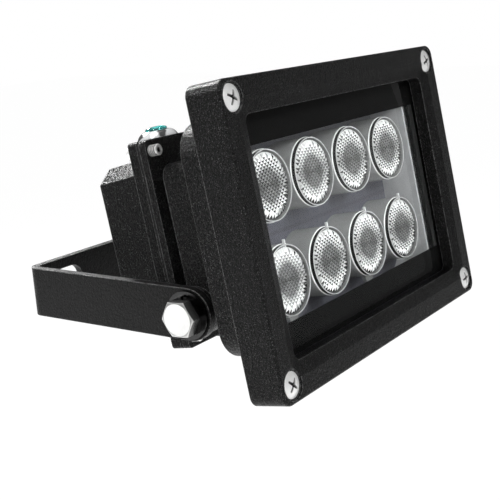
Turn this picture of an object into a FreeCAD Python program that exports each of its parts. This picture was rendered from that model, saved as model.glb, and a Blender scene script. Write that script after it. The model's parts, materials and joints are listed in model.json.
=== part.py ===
import FreeCAD
import Part
import Sketcher
import math
import operator
import os
from types import SimpleNamespace

# Infrared illuminator: a lamp that tilts in a U-shaped wall bracket. Millimetres.
# Row frame: origin at the middle of the cross bar's wall side, +Y into the wall, +Z up.
# Lamp frame: x across, y backwards from the front of the bezel, z up from its centre.
# Stack frame: x across, y up, z forwards, so a depth behind the front is minus z.

doc = FreeCAD.newDocument("infrared_illuminator")

# Driving dimensions: name, value, meaning
SIZES = [
    ("rest_tilt", 9.7, "degrees that the lamp looks above level at rest"),
    ("small_gap", 0.3, "play round a piece that drops into a recess"),
    ("thread_gap", 0.05, "play round a thread in its hole"),
    ("bezel_width", 141, "front frame across"),
    ("bezel_height", 100, "front frame up"),
    ("bezel_depth", 13, "front frame from front to back"),
    ("bezel_corner", 4, "radius of its outer corners"),
    ("bezel_edge", 1, "round on its outer front edge"),
    ("rim_flat", 6.9, "flat zone round the front"),
    ("rim_bevel", 4.6, "width of the inward bevel"),
    ("bevel_drop", 1.6, "depth of the inward bevel"),
    ("window_corner", 3, "corner radius of the opening"),
    ("skirt_wall", 2.5, "skirt that hides the housing flange"),
    ("glass_depth", 6.2, "front of the glass behind the front"),
    ("glass_thick", 3, "window glass"),
    ("glass_lap", 3, "glass behind the bezel's edge"),
    ("glass_corner", 4, "corner radius of the glass"),
    ("film_thick", 0.2, "printed mask behind the glass"),
    ("film_margin", 1.5, "mask edge hidden beside the opening"),
    ("clear_height", 57.4, "clear band of the mask"),
    ("seal_thick", 0.8, "rubber seal behind the glass"),
    ("seal_width", 4.4, "width of that seal"),
    ("screw_inset", 5.9, "front screws from the bezel's sides"),
    ("screw_radius", 2, "M4 screws"),
    ("screw_short", 0.2, "front screw ends short of the housing flange's rear"),
    ("screw_head", 4.25, "radius of a front screw head"),
    ("screw_rise", 1, "crown of a front screw head"),
    ("spot_room", 0.55, "spot face round the edge of a front screw head"),
    ("spot_depth", 0.9, "depth of that spot face"),
    ("flange_inset", 0.3, "play between skirt and housing flange"),
    ("tier_two_width", 117, "lamp chamber across"),
    ("tier_two_height", 78.4, "lamp chamber up"),
    ("tier_two_corner", 10.5, "its corner radius"),
    ("tier_two_floor", 3, "its rear wall"),
    ("tier_two_edge", 0.8, "round on its rear edge"),
    ("rear_width", 95, "middle block and rear flange across"),
    ("tier_one_height", 55, "middle block up"),
    ("tier_one_corner", 4.8, "its corner radius"),
    ("tier_one_long", 18.4, "middle block behind the lamp chamber"),
    ("tier_one_root", 3, "fillet where it leaves the lamp chamber"),
    ("neck_width", 84, "neck across"),
    ("neck_height", 48, "neck up"),
    ("neck_corner", 3, "its corner radius"),
    ("neck_long", 4.9, "neck between the middle block and the rear flange"),
    ("plate_thick", 2.9, "rear flange plate"),
    ("plate_height", 73.6, "rear flange up"),
    ("plate_corner", 1.5, "its corner radius"),
    ("chamber_wall", 3, "wall of the lamp chamber"),
    ("rear_wall", 5, "least wall round the middle block's hollow"),
    ("divider_thick", 4, "wall between the chambers"),
    ("cover_seal", 1, "rubber seal of the rear cover"),
    ("cover_seal_inset", 0.4, "that seal's edge inside the flange"),
    ("cover_flange", 4, "rear cover's flange"),
    ("cover_ledge_x", 6.5, "flange beside the rear box"),
    ("cover_ledge_y", 6, "flange above and below the rear box"),
    ("cover_slope_x", 1, "draw-in of the box's sides"),
    ("cover_slope_y", 1.9, "draw-in of the box's top and bottom"),
    ("cover_cut_x", 6.6, "corner cut of the box across"),
    ("cover_cut_y", 5, "corner cut of the box up"),
    ("cover_edge", 1.2, "round on the box's rear edges"),
    ("cover_wall", 3, "wall of the rear box"),
    ("cover_screw_side", 3, "cover screws from the flange's sides"),
    ("cover_screw_top", 3.9, "cover screws from the flange's top and bottom"),
    ("cover_screw_end", 3.4, "screw ends in front of the flange plate"),
    ("cover_head", 3, "radius of a cover screw head"),
    ("cover_head_high", 1.6, "height of a cover screw head"),
    ("pivot_room", 2.2, "pivot bosses in front of the flange's rear face"),
    ("pivot_drop", 23.2, "tilt axis below the lamp's centre"),
    ("pivot_reach", 78, "tilt axis from the wall"),
    ("lug_radius", 8.5, "pivot bosses"),
    ("lug_rise", 2.3, "outer face of a pivot boss beside the middle block"),
    ("lug_length", 11.8, "pivot bosses along the axis"),
    ("bolt_radius", 4, "M8 pivot bolts"),
    ("bolt_grip", 9, "thread of a pivot bolt inside its boss"),
    ("bolt_gap", 0.2, "play between a bolt and the bracket"),
    ("bolt_flats", 13, "hexagon across its flats"),
    ("bolt_head", 3.8, "height of the hexagon"),
    ("head_turning", 0.39, "turned-off edge inside the hexagon's flats"),
    ("bolt_phase", 34, "degrees that the hexagon is turned"),
    ("washer_radius", 8.5, "flat washers"),
    ("washer_thick", 1, "flat washers"),
    ("spring_radius", 7.1, "spring lock washers"),
    ("spring_thick", 1.4, "spring lock washers"),
    ("strip_width", 18.5, "bracket strip"),
    ("strip_thick", 3, "bracket strip"),
    ("side_play", 0.2, "play between bracket and lamp, each side"),
    ("bend_radius", 2, "inside of the bracket's bends"),
    ("slot_spread", 69.8, "middle to middle of the wall slots"),
    ("slot_long", 15.5, "wall slot, end to end"),
    ("slot_wide", 10.6, "wall slot"),
    ("centre_hole", 3.25, "radius of the hole in the middle of the bar"),
    ("lens_side_room", 0.2, "room beside the row of lens cells"),
    ("lens_pitch_y", 31.5, "lens rows apart"),
    ("lens_drop", 1, "lens array below the lamp's centre"),
    ("holder_gap", 2.7, "gap between two lens holders"),
    ("holder_front", 11.7, "front of a lens holder behind the front"),
    ("holder_long", 13, "lens holder from front to rear"),
    ("holder_rim", 1.3, "rim of a lens holder"),
    ("holder_seat", 1.2, "ledge under a lens"),
    ("lens_thick", 1.5, "disc of a lens"),
    ("lens_sink", 0.7, "lens below its holder's rim"),
    ("lens_tip", 4.6, "radius of a lens at its rear"),
    ("lens_long", 9.6, "lens from front to rear"),
    ("lens_well", 2.6, "radius of the well over the emitter"),
    ("lens_well_deep", 3, "depth of that well"),
    ("peg_turn", 50, "degrees that this key stands above the holder's left"),
    ("peg_wide", 1.4, "key on a lower lens holder"),
    ("peg_long", 2.4, "that key, up"),
    ("board_thick", 1.6, "circuit boards"),
    ("pad_thick", 0.9, "heat pad behind the emitter board"),
    ("tray_wall", 1.2, "light tray"),
    ("emitter_side", 3.5, "emitter chip"),
    ("emitter_high", 0.7, "emitter chip"),
    ("emitter_dome", 1.3, "radius of an emitter's dome"),
    ("emitter_rise", 1.04, "rise of that dome"),
    ("board_screw_room", 0.15, "emitter board's screw heads from the tray"),
    ("board_screw", 1.5, "M3 screws"),
    ("board_screw_head", 2.75, "radius of an M3 screw head"),
    ("board_screw_high", 1.8, "height of an M3 screw head"),
    ("board_screw_grip", 2.2, "M3 thread in the wall behind the emitter board"),
    ("driver_screw_grip", 6, "M3 thread in the posts"),
    ("driver_side_room", 3, "driver board from the sides of the box"),
    ("driver_top_room", 1.9, "driver board from the thin nuts"),
    ("driver_set", 7.2, "driver board behind the cover's front face"),
    ("post_radius", 3, "posts under the driver board"),
    ("post_inset", 4, "posts from the driver board's sides"),
    ("coil_radius", 7, "driver's coil"),
    ("coil_high", 8, "driver's coil"),
    ("cap_radius", 4, "driver's capacitors"),
    ("cap_high", 11, "driver's capacitors"),
    ("cap_gap", 2, "gap between the capacitors"),
    ("lead_radius", 0.9, "wires to the emitter board"),
    ("lead_spread", 3.2, "those wires apart"),
    ("grommet_room", 0.35, "room round the wires in their bush"),
    ("grommet_wall", 1.1, "bush in the wire hole"),
    ("grommet_lip", 1.6, "lip of that bush"),
    ("sensor_side", 11.8, "light sensor from the cut corner inside the box"),
    ("sensor_step", 1.7, "light sensor in front of the gland"),
    ("sensor_pad", 0.4, "flat under the light sensor above the rear box"),
    ("sensor_radius", 8, "light sensor's body"),
    ("sensor_high", 5.3, "straight part of that body"),
    ("sensor_shoulder", 3.5, "rounded part of that body"),
    ("sensor_narrowing", 3.3, "how far that rounded part draws in"),
    ("sensor_washer", 0.8, "rubber washer under that body"),
    ("sensor_lens", 3.4, "radius of the sensor's lens"),
    ("sensor_lens_rise", 1.2, "crown of the sensor's lens"),
    ("sensor_lens_deep", 2.2, "lens inside the body"),
    ("sensor_cell", 2.6, "radius of the light cell"),
    ("sensor_cell_deep", 2, "light cell"),
    ("stem_radius", 6, "threaded stems of sensor and gland"),
    ("stem_long", 8.4, "those stems below their flats"),
    ("nut_flats", 17, "thin nuts on those stems"),
    ("nut_thick", 3, "thin nuts on those stems"),
    ("nut_room", 1.1, "gland's nut from the rear wall"),
    ("boss_radius", 9.2, "flats for sensor and gland"),
    ("boss_room", 3.4, "those flats behind the cover's flange"),
    ("gland_pad", 1, "flat over the gland below the rear box"),
    ("gland_flats", 15, "gland's hexagon"),
    ("gland_collar", 3.6, "height of that hexagon"),
    ("gland_spigot", 5.4, "radius of the gland's lower thread"),
    ("gland_spigot_long", 5, "gland's lower thread"),
    ("gland_cap", 7, "radius of the gland's cap"),
    ("gland_cap_long", 8.6, "gland's cap"),
    ("gland_cap_floor", 2.4, "end wall of the cap"),
    ("gland_bore", 4.2, "radius of the bore behind the seal"),
    ("cord_hole", 3.1, "radius of the opening for a cord"),
]


class Size:
    """A number together with the sheet expression that gives it."""

    def __init__(self, value, text):
        self.value = float(value)
        self.text = text

    def __add__(self, other):
        return combined(self, "+", other)

    def __radd__(self, other):
        return combined(other, "+", self)

    def __sub__(self, other):
        return combined(self, "-", other)

    def __rsub__(self, other):
        return combined(other, "-", self)

    def __mul__(self, other):
        return combined(self, "*", other)

    def __rmul__(self, other):
        return combined(other, "*", self)

    def __truediv__(self, other):
        return combined(self, "/", other)

    def __neg__(self):
        return combined(0, "-", self)


ARITHMETIC = {"+": operator.add, "-": operator.sub, "*": operator.mul, "/": operator.truediv}


def as_size(number):
    return number if isinstance(number, Size) else Size(number, "(%r)" % float(number))


def combined(left, sign, right):
    left = as_size(left)
    right = as_size(right)
    value = ARITHMETIC[sign](left.value, right.value)
    return Size(value, "(%s %s %s)" % (left.text, sign, right.text))


def sine(angle):
    return Size(math.sin(math.radians(angle.value)), "sin(%s)" % angle.text)


def cosine(angle):
    return Size(math.cos(math.radians(angle.value)), "cos(%s)" % angle.text)


def write_sheet():
    """Put the driving dimensions in the sheet and give them back as named sizes."""
    sheet = doc.addObject("Spreadsheet::Sheet", "Sizes")
    named = {}
    for row, (alias, value, meaning) in enumerate(SIZES, start=1):
        sheet.set("A%d" % row, meaning)
        sheet.set("B%d" % row, str(value))
        sheet.setAlias("B%d" % row, alias)
        named[alias] = Size(value, "Sizes." + alias)
    doc.recompute()
    return SimpleNamespace(**named)


d = write_sheet()
pieces = []

# Sizes that follow: window and bezel
window_width = d.bezel_width - 2 * (d.rim_flat + d.rim_bevel)
window_height = d.bezel_height - 2 * (d.rim_flat + d.rim_bevel)
glass_width = window_width + 2 * d.glass_lap
glass_height = window_height + 2 * d.glass_lap
glass_back = d.glass_depth + d.glass_thick
film_back = glass_back + d.film_thick
flange_front = film_back + d.seal_thick
flange_width = d.bezel_width - 2 * (d.skirt_wall + d.flange_inset)
flange_height = d.bezel_height - 2 * (d.skirt_wall + d.flange_inset)
screw_x = d.bezel_width / 2 - d.screw_inset
screw_y = d.bezel_height / 2 - d.screw_inset

# Lamp chamber, and the board, lenses and tray inside it
chamber_width = d.tier_two_width - 2 * d.chamber_wall
chamber_height = d.tier_two_height - 2 * d.chamber_wall
chamber_corner = d.tier_two_corner - d.chamber_wall
insert_width = chamber_width - 2 * d.small_gap
insert_height = chamber_height - 2 * d.small_gap
insert_corner = chamber_corner - d.small_gap
lens_pitch_x = (insert_width - 2 * (d.tray_wall + d.lens_side_room)) / 4
holder_radius = (lens_pitch_x - d.holder_gap) / 2
board_front = d.holder_front + d.holder_long
board_back = board_front + d.board_thick
divider_front = board_back + d.pad_thick
divider_back = divider_front + d.divider_thick
board_screw_x = lens_pitch_x
board_screw_y = insert_height / 2 - d.tray_wall - d.board_screw_head - d.board_screw_room
lead_hole = d.lead_spread / 2 + d.lead_radius + d.grommet_room + d.grommet_wall + d.thread_gap

# Housing behind the lamp chamber
tier_two_back = divider_front + d.tier_two_floor
tier_one_back = tier_two_back + d.tier_one_long
plate_front = tier_one_back + d.neck_long
plate_back = plate_front + d.plate_thick

# Rear cover, light sensor and gland, and the driver inside
cover_front = plate_back + d.cover_seal
cover_flange_back = cover_front + d.cover_flange
cover_screw_x = d.rear_width / 2 - d.cover_screw_side
cover_screw_y = d.plate_height / 2 - d.cover_screw_top
cover_width = d.rear_width - 2 * d.cover_ledge_x
cover_height = d.plate_height - 2 * d.cover_ledge_y
cover_back_width = cover_width - 2 * d.cover_slope_x
cover_back_height = cover_height - 2 * d.cover_slope_y
cover_inner_width = cover_back_width - 2 * d.cover_wall
cover_inner_height = cover_back_height - 2 * d.cover_wall
gland_depth = cover_flange_back + d.boss_room + d.boss_radius
cover_back = gland_depth + d.nut_flats / 2 + d.nut_room + d.cover_wall
gland_foot = cover_height / 2 + d.gland_pad
sensor_x = d.cover_cut_x + d.sensor_side - cover_inner_width / 2
sensor_depth = gland_depth - d.sensor_step
sensor_foot = cover_height / 2 + d.sensor_pad
sensor_mouth = d.sensor_radius - d.sensor_narrowing
driver_width = cover_inner_width - 2 * d.driver_side_room
driver_height = cover_inner_height - 2 * (d.nut_thick + d.driver_top_room)
driver_front = cover_front + d.driver_set
driver_back = driver_front + d.board_thick
post_x = driver_width / 2 - d.post_inset
post_y = driver_height / 2 - d.post_inset

# Bracket and the place of the lamp in it
lug_face = d.rear_width / 2 + d.lug_rise
arm_inside = lug_face + d.side_play
arm_outside = arm_inside + d.strip_thick
pivot_depth = plate_back - d.lug_radius - d.pivot_room
lamp_y = d.pivot_drop * sine(d.rest_tilt) - pivot_depth * cosine(d.rest_tilt) - d.pivot_reach
lamp_z = pivot_depth * sine(d.rest_tilt) + d.pivot_drop * cosine(d.rest_tilt)


# Binding and placing

def bind(obj, prop, size):
    obj.setExpression(prop, as_size(size).text)


def place(obj, x=0, y=0, z=0):
    for letter, size in zip("xyz", (x, y, z)):
        bind(obj, "Placement.Base." + letter, size)


def finish(obj, label):
    """Name a finished piece and keep it for the list of pieces."""
    obj.Label = label
    pieces.append(obj)
    return obj


def seat(obj, label, turn):
    """Put a piece drawn round the lamp's centre on the tilted lamp."""
    axis = FreeCAD.Vector(1, 0, 0)
    obj.Placement = FreeCAD.Placement(FreeCAD.Vector(), FreeCAD.Rotation(axis, turn.value))
    bind(obj, "Placement.Rotation.Angle", turn)
    place(obj, 0, lamp_y, lamp_z)
    return finish(obj, label)


def seat_stack(obj, label):
    """A piece drawn in the stack frame."""
    return seat(obj, label, 90 - d.rest_tilt)


def seat_upright(obj, label):
    """A piece drawn in the lamp frame."""
    return seat(obj, label, -d.rest_tilt)


def seat_on_pivot(obj, label, side):
    """A piece drawn along z, set on the tilt axis and pointing outwards."""
    turn = FreeCAD.Rotation(FreeCAD.Vector(0, 1, 0), 90 * side)
    obj.Placement = FreeCAD.Placement(FreeCAD.Vector(), turn)
    place(obj, 0, -d.pivot_reach, 0)
    return finish(obj, label)


# Sketches

def sketch_on(body, role, offset):
    sketch = body.newObject("Sketcher::SketchObject", body.Name + "_sketch")
    plane = next(part for part in body.Origin.OriginFeatures if part.Role == role)
    sketch.AttachmentSupport = [(plane, "")]
    sketch.MapMode = "FlatFace"
    bind(sketch, "AttachmentOffset.Base.z", offset)
    return sketch


def drive(sketch, constraint, size):
    """Add a constraint whose value comes from the sheet."""
    index = sketch.addConstraint(constraint)
    sketch.setExpression("Constraints[%d]" % index, size.text)


def pin(sketch, geometry, end, x, y):
    """Fix one point of a line or arc at its distance from both axes."""
    for letter, axis, size in (("X", -2, as_size(x)), ("Y", -1, as_size(y))):
        kind = "Distance" + letter
        if abs(size.value) < 1e-9:
            sketch.addConstraint(Sketcher.Constraint("PointOnObject", geometry, end, axis))
        elif size.value > 0:
            drive(sketch, Sketcher.Constraint(kind, -1, 1, geometry, end, size.value), size)
        else:
            drive(sketch, Sketcher.Constraint(kind, geometry, end, -1, 1, -size.value), -size)


def vector(x, y):
    return FreeCAD.Vector(as_size(x).value, as_size(y).value, 0)


def direction(start, end):
    """Unit step from one corner to the next, along an axis."""
    step = vector(end[0], end[1]) - vector(start[0], start[1])
    step.normalize()
    return round(step.x), round(step.y)


def join(sketch, one, other):
    sketch.addConstraint(Sketcher.Constraint("Coincident", one[0], one[1], other[0], other[1]))


def corner_ends(corners, index):
    """Where the sides end at a corner: one point, or two if it is rounded."""
    x, y, radius = corners[index]
    if radius is None:
        return [(x, y)]
    before = direction(corners[index - 1], corners[index])
    after = direction(corners[index], corners[(index + 1) % len(corners)])
    return [
        (x - before[0] * radius, y - before[1] * radius),
        (x + after[0] * radius, y + after[1] * radius),
    ]


def draw_corner(sketch, corner, ends, before, after):
    """Join two sides, an upright and a level one, by an arc."""
    start = vector(*ends[0])
    stop = vector(*ends[1])
    sharp = vector(corner[0], corner[1])
    centre = start + stop - sharp
    outwards = sharp - centre
    outwards.normalize()
    middle = centre + outwards * corner[2].value
    arc = sketch.addGeometry(Part.Arc(start, middle, stop))
    same_way = sketch.getPoint(arc, 1).distanceToPoint(start) < 1e-6
    first, second = (1, 2) if same_way else (2, 1)
    join(sketch, (arc, first), (before, 2))
    join(sketch, (arc, second), (after, 1))
    drive(sketch, Sketcher.Constraint("Radius", arc, corner[2].value), corner[2])


def draw_outline(sketch, corners):
    """A closed outline of straight sides, with arcs at the corners that have a radius."""
    count = len(corners)
    ends = [corner_ends(corners, index) for index in range(count)]
    sides = []
    for index in range(count):
        start = ends[index][-1]
        stop = ends[(index + 1) % count][0]
        side = sketch.addGeometry(Part.LineSegment(vector(*start), vector(*stop)))
        pin(sketch, side, 1, *start)
        sides.append(side)
    for index, corner in enumerate(corners):
        before = sides[index - 1]
        if corner[2] is None:
            join(sketch, (before, 2), (sides[index], 1))
            continue
        pin(sketch, before, 2, *ends[index][0])
        draw_corner(sketch, corner, ends[index], before, sides[index])


def draw_circle(sketch, x, y, radius):
    shape = Part.Circle(vector(x, y), FreeCAD.Vector(0, 0, 1), radius.value)
    circle = sketch.addGeometry(shape)
    pin(sketch, circle, 3, x, y)
    drive(sketch, Sketcher.Constraint("Radius", circle, radius.value), radius)


def draw_slot(sketch, x, length, width):
    """A level slot with round ends, centred on the sketch's x axis."""
    radius = width / 2
    reach = (length - width) / 2
    left = x - reach
    right = x + reach
    top = sketch.addGeometry(Part.LineSegment(vector(right, radius), vector(left, radius)))
    round_left = sketch.addGeometry(
        Part.Arc(vector(left, radius), vector(left - radius, 0), vector(left, -radius)))
    bottom = sketch.addGeometry(Part.LineSegment(vector(left, -radius), vector(right, -radius)))
    round_right = sketch.addGeometry(
        Part.Arc(vector(right, -radius), vector(right + radius, 0), vector(right, radius)))
    loop = [top, round_left, bottom, round_right]
    for index, part in enumerate(loop):
        following = loop[(index + 1) % len(loop)]
        sketch.addConstraint(Sketcher.Constraint("Tangent", part, 2, following, 1))
    pin(sketch, round_left, 3, left, 0)
    pin(sketch, round_right, 3, right, 0)
    sketch.addConstraint(Sketcher.Constraint("Horizontal", top))
    drive(sketch, Sketcher.Constraint("Radius", round_left, radius.value), radius)


def box_corners(width, height, radius=None):
    """Corners of a rectangle round the origin."""
    x = width / 2
    y = height / 2
    return [(x, y, radius), (-x, y, radius), (-x, -y, radius), (x, -y, radius)]


def cut_corners(width, height, cut_x, cut_y):
    """Corners of a rectangle round the origin whose corners are cut off."""
    x = width / 2
    y = height / 2
    inner_x = x - cut_x
    inner_y = y - cut_y
    return [
        (x, inner_y, None), (inner_x, y, None), (-inner_x, y, None), (-x, inner_y, None),
        (-x, -inner_y, None), (-inner_x, -y, None), (inner_x, -y, None), (x, -inner_y, None),
    ]


def four(x, y):
    """The four places at plus and minus x and y."""
    return [(x, y), (-x, y), (-x, -y), (x, -y)]


# Features of a body in the stack frame, between two depths behind the front

def new_body(label):
    return doc.addObject("PartDesign::Body", label)


def feature(body, kind, sketch, length, backwards=False):
    """Pad or pocket a sketch and hide nothing else in the body."""
    made = body.newObject("PartDesign::" + kind, body.Name + "_" + kind)
    made.Profile = sketch
    made.Reversed = backwards
    bind(made, "Length", length)
    return made


def slab(body, corners, near, far):
    """Add a plate with an outline."""
    sketch = sketch_on(body, "XY_Plane", -far)
    draw_outline(sketch, corners)
    return feature(body, "Pad", sketch, far - near)


def recess(body, corners, near, far):
    """Cut an outline backwards from a depth."""
    sketch = sketch_on(body, "XY_Plane", -near)
    draw_outline(sketch, corners)
    return feature(body, "Pocket", sketch, far - near)


def holes(body, places, radius, near, far):
    """Cut round holes backwards from a depth."""
    sketch = sketch_on(body, "XY_Plane", -near)
    for x, y in places:
        draw_circle(sketch, x, y, radius)
    return feature(body, "Pocket", sketch, far - near)


def posts(body, places, radius, near, far):
    """Add round posts between two depths."""
    sketch = sketch_on(body, "XY_Plane", -far)
    for x, y in places:
        draw_circle(sketch, x, y, radius)
    return feature(body, "Pad", sketch, far - near)


def lofted(body, kind, near_corners, near, far_corners, far):
    """Add or cut a form that changes from one outline to another."""
    start = sketch_on(body, "XY_Plane", -near)
    draw_outline(start, near_corners)
    stop = sketch_on(body, "XY_Plane", -far)
    draw_outline(stop, far_corners)
    made = body.newObject("PartDesign::" + kind, body.Name + "_" + kind)
    made.Profile = start
    made.Sections = [stop]
    made.Ruled = True
    return made


def at_depth(depth):
    """Chooses the edges that lie in one plane behind the front."""
    def chosen(edge):
        box = edge.BoundBox
        return abs(box.ZMin + depth.value) < 1e-3 and abs(box.ZMax + depth.value) < 1e-3
    return chosen


def round_edges(body, radius, chosen):
    doc.recompute()
    base = body.Tip
    names = ["Edge%d" % number for number, edge in enumerate(base.Shape.Edges, start=1)
             if chosen(edge)]
    made = body.newObject("PartDesign::Fillet", body.Name + "_Fillet")
    made.Base = (base, names)
    bind(made, "Radius", radius)
    return made


# Part primitives between two levels of their own z axis

def rod(name, radius, low, high, x=0, y=0):
    made = doc.addObject("Part::Cylinder", name)
    bind(made, "Radius", radius)
    bind(made, "Height", high - low)
    place(made, x, y, low)
    return made


def taper(name, low_radius, high_radius, low, high, x=0, y=0):
    made = doc.addObject("Part::Cone", name)
    bind(made, "Radius1", low_radius)
    bind(made, "Radius2", high_radius)
    bind(made, "Height", high - low)
    place(made, x, y, low)
    return made


def hexagon(name, flats, low, high, x=0, y=0, phase=0):
    made = doc.addObject("Part::Prism", name)
    made.Polygon = 6
    bind(made, "Circumradius", flats / (2 * cosine(as_size(30))))
    bind(made, "Height", high - low)
    turn = as_size(phase)
    axis = FreeCAD.Vector(0, 0, 1)
    made.Placement = FreeCAD.Placement(FreeCAD.Vector(), FreeCAD.Rotation(axis, turn.value or 1))
    bind(made, "Placement.Rotation.Angle", turn)
    place(made, x, y, low)
    return made


def block(name, width, length, low, high, x=0, y=0):
    made = doc.addObject("Part::Box", name)
    bind(made, "Length", width)
    bind(made, "Width", length)
    bind(made, "Height", high - low)
    place(made, x - width / 2, y - length / 2, low)
    return made


def dome(name, radius, rise, low, x=0, y=0):
    """A spherical cap that stands on a level."""
    ball_radius = (radius * radius + rise * rise) / (2 * rise)
    ball = doc.addObject("Part::Sphere", name + "_ball")
    bind(ball, "Radius", ball_radius)
    place(ball, x, y, low + rise - ball_radius)
    made = doc.addObject("Part::Common", name)
    made.Base = ball
    made.Tool = rod(name + "_limit", radius, low, low + rise, x, y)
    return made


def joined(name, parts):
    made = doc.addObject("Part::MultiFuse", name)
    made.Shapes = parts
    made.Refine = True
    return made


def carved(name, base, tools):
    made = doc.addObject("Part::Cut", name)
    made.Base = base
    made.Tool = tools[0] if len(tools) == 1 else joined(name + "_tools", tools)
    return made


def gathered(name, parts):
    """Like pieces that stay separate solids of one node."""
    made = doc.addObject("Part::Compound", name)
    made.Links = parts
    return made


def chamfered_hexagon(name, flats, low, high, phase=0):
    """A hexagon whose corners are turned off at its high end, 30 degrees from the face."""
    face_radius = flats / 2 - d.head_turning
    spread = (high - low) * cosine(as_size(30)) / sine(as_size(30))
    made = doc.addObject("Part::Common", name)
    made.Base = hexagon(name + "_hexagon", flats, low, high, phase=phase)
    made.Tool = taper(name + "_turning", face_radius + spread, face_radius, low, high)
    return made


# Bracket

def make_bracket():
    body = new_body("u_bracket")
    half_strip = d.strip_width / 2
    bend = d.bend_radius + d.strip_thick
    outline = [
        (arm_outside, -d.pivot_reach, None), (arm_outside, as_size(0), bend),
        (-arm_outside, as_size(0), bend), (-arm_outside, -d.pivot_reach, None),
        (-arm_inside, -d.pivot_reach, None), (-arm_inside, -d.strip_thick, d.bend_radius),
        (arm_inside, -d.strip_thick, d.bend_radius), (arm_inside, -d.pivot_reach, None),
    ]
    strip = sketch_on(body, "XY_Plane", -half_strip)
    draw_outline(strip, outline)
    feature(body, "Pad", strip, d.strip_width)
    for start in (-arm_outside, arm_inside):
        end = sketch_on(body, "YZ_Plane", start)
        draw_circle(end, -d.pivot_reach, 0, half_strip)
        feature(body, "Pad", end, d.strip_thick)
    pivots = sketch_on(body, "YZ_Plane", arm_outside)
    draw_circle(pivots, -d.pivot_reach, 0, d.bolt_radius + d.bolt_gap)
    feature(body, "Pocket", pivots, 2 * arm_outside)
    slots = sketch_on(body, "XZ_Plane", 0)
    for side in (-1, 1):
        draw_slot(slots, side * d.slot_spread / 2, d.slot_long, d.slot_wide)
    feature(body, "Pocket", slots, d.strip_thick, backwards=True)
    middle = sketch_on(body, "XZ_Plane", 0)
    draw_circle(middle, 0, 0, d.centre_hole)
    feature(body, "Pocket", middle, d.strip_thick, backwards=True)
    finish(body, "u_bracket")


# Front of the lamp

def make_bezel():
    body = new_body("bezel_frame")
    slab(body, box_corners(d.bezel_width, d.bezel_height, d.bezel_corner), 0, d.bezel_depth)
    round_edges(body, d.bezel_edge, at_depth(as_size(0)))
    bevel_width = window_width + 2 * d.rim_bevel
    bevel_height = window_height + 2 * d.rim_bevel
    lofted(body, "SubtractiveLoft",
           box_corners(bevel_width, bevel_height, d.window_corner), 0,
           box_corners(window_width, window_height, d.window_corner), d.bevel_drop)
    recess(body, box_corners(window_width, window_height, d.window_corner), 0, d.bezel_depth)
    seat_width = glass_width + 2 * d.small_gap
    seat_height = glass_height + 2 * d.small_gap
    recess(body, box_corners(seat_width, seat_height, d.glass_corner + d.small_gap),
           d.glass_depth, d.bezel_depth)
    skirt_width = d.bezel_width - 2 * d.skirt_wall
    skirt_height = d.bezel_height - 2 * d.skirt_wall
    recess(body, box_corners(skirt_width, skirt_height, d.bezel_corner - d.skirt_wall),
           flange_front, d.bezel_depth)
    corners = four(screw_x, screw_y)
    holes(body, corners, d.screw_head + d.spot_room, 0, d.spot_depth)
    holes(body, corners, d.screw_radius + d.small_gap, 0, d.bezel_depth)
    for x, y in corners:
        sink = body.newObject("PartDesign::SubtractiveCone", "countersink")
        plane = next(part for part in body.Origin.OriginFeatures if part.Role == "XY_Plane")
        sink.AttachmentSupport = [(plane, "")]
        sink.MapMode = "FlatFace"
        bind(sink, "Radius1", d.screw_radius)
        bind(sink, "Radius2", d.screw_head + d.thread_gap)
        bind(sink, "Height", d.screw_head + d.thread_gap - d.screw_radius)
        bind(sink, "AttachmentOffset.Base.x", x)
        bind(sink, "AttachmentOffset.Base.y", y)
        bind(sink, "AttachmentOffset.Base.z",
             d.screw_radius - d.screw_head - d.thread_gap - d.spot_depth)
    seat_stack(body, "bezel_frame")


def make_front_screw(number, x, y):
    """Raised countersunk screw; its head's edge lies on the spot face."""
    name = "bezel_screw_%d" % number
    edge = -d.spot_depth
    neck = edge - (d.screw_head - d.screw_radius)
    tip = -(d.bezel_depth - d.screw_short)
    return joined(name, [
        rod(name + "_shank", d.screw_radius, tip, neck, x, y),
        taper(name + "_cone", d.screw_radius, d.screw_head, neck, edge, x, y),
        dome(name + "_crown", d.screw_head, d.screw_rise, edge, x, y),
    ])


def make_front_screws():
    places = four(screw_x, screw_y)
    screws = [make_front_screw(number, x, y) for number, (x, y) in enumerate(places, start=1)]
    seat_stack(gathered("bezel_screws", screws), "bezel_screws")


def plate_piece(label, outlines, near, far, radius_holes=()):
    """A flat piece: an outer outline, any inner outline, and sets of round holes."""
    body = new_body(label)
    slab(body, outlines[0], near, far)
    for inner in outlines[1:]:
        recess(body, inner, near, far)
    for places, radius in radius_holes:
        holes(body, places, radius, near, far)
    seat_stack(body, label)


def make_window():
    glass = box_corners(glass_width, glass_height, d.glass_corner)
    plate_piece("window_glass", [glass], d.glass_depth, glass_back)
    clear = box_corners(window_width + 2 * d.film_margin, d.clear_height)
    plate_piece("window_mask", [glass, clear], glass_back, film_back)
    inner = box_corners(glass_width - 2 * d.seal_width, glass_height - 2 * d.seal_width,
                        d.glass_corner)
    plate_piece("glass_seal", [glass, inner], film_back, flange_front)


# Housing

def on_tier_one(edge):
    """Is this edge at the root of the middle block?"""
    middle = edge.CenterOfMass
    across = abs(middle.x) <= d.rear_width.value / 2 + 0.01
    return across and abs(middle.y) <= d.tier_one_height.value / 2 + 0.01


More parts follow.
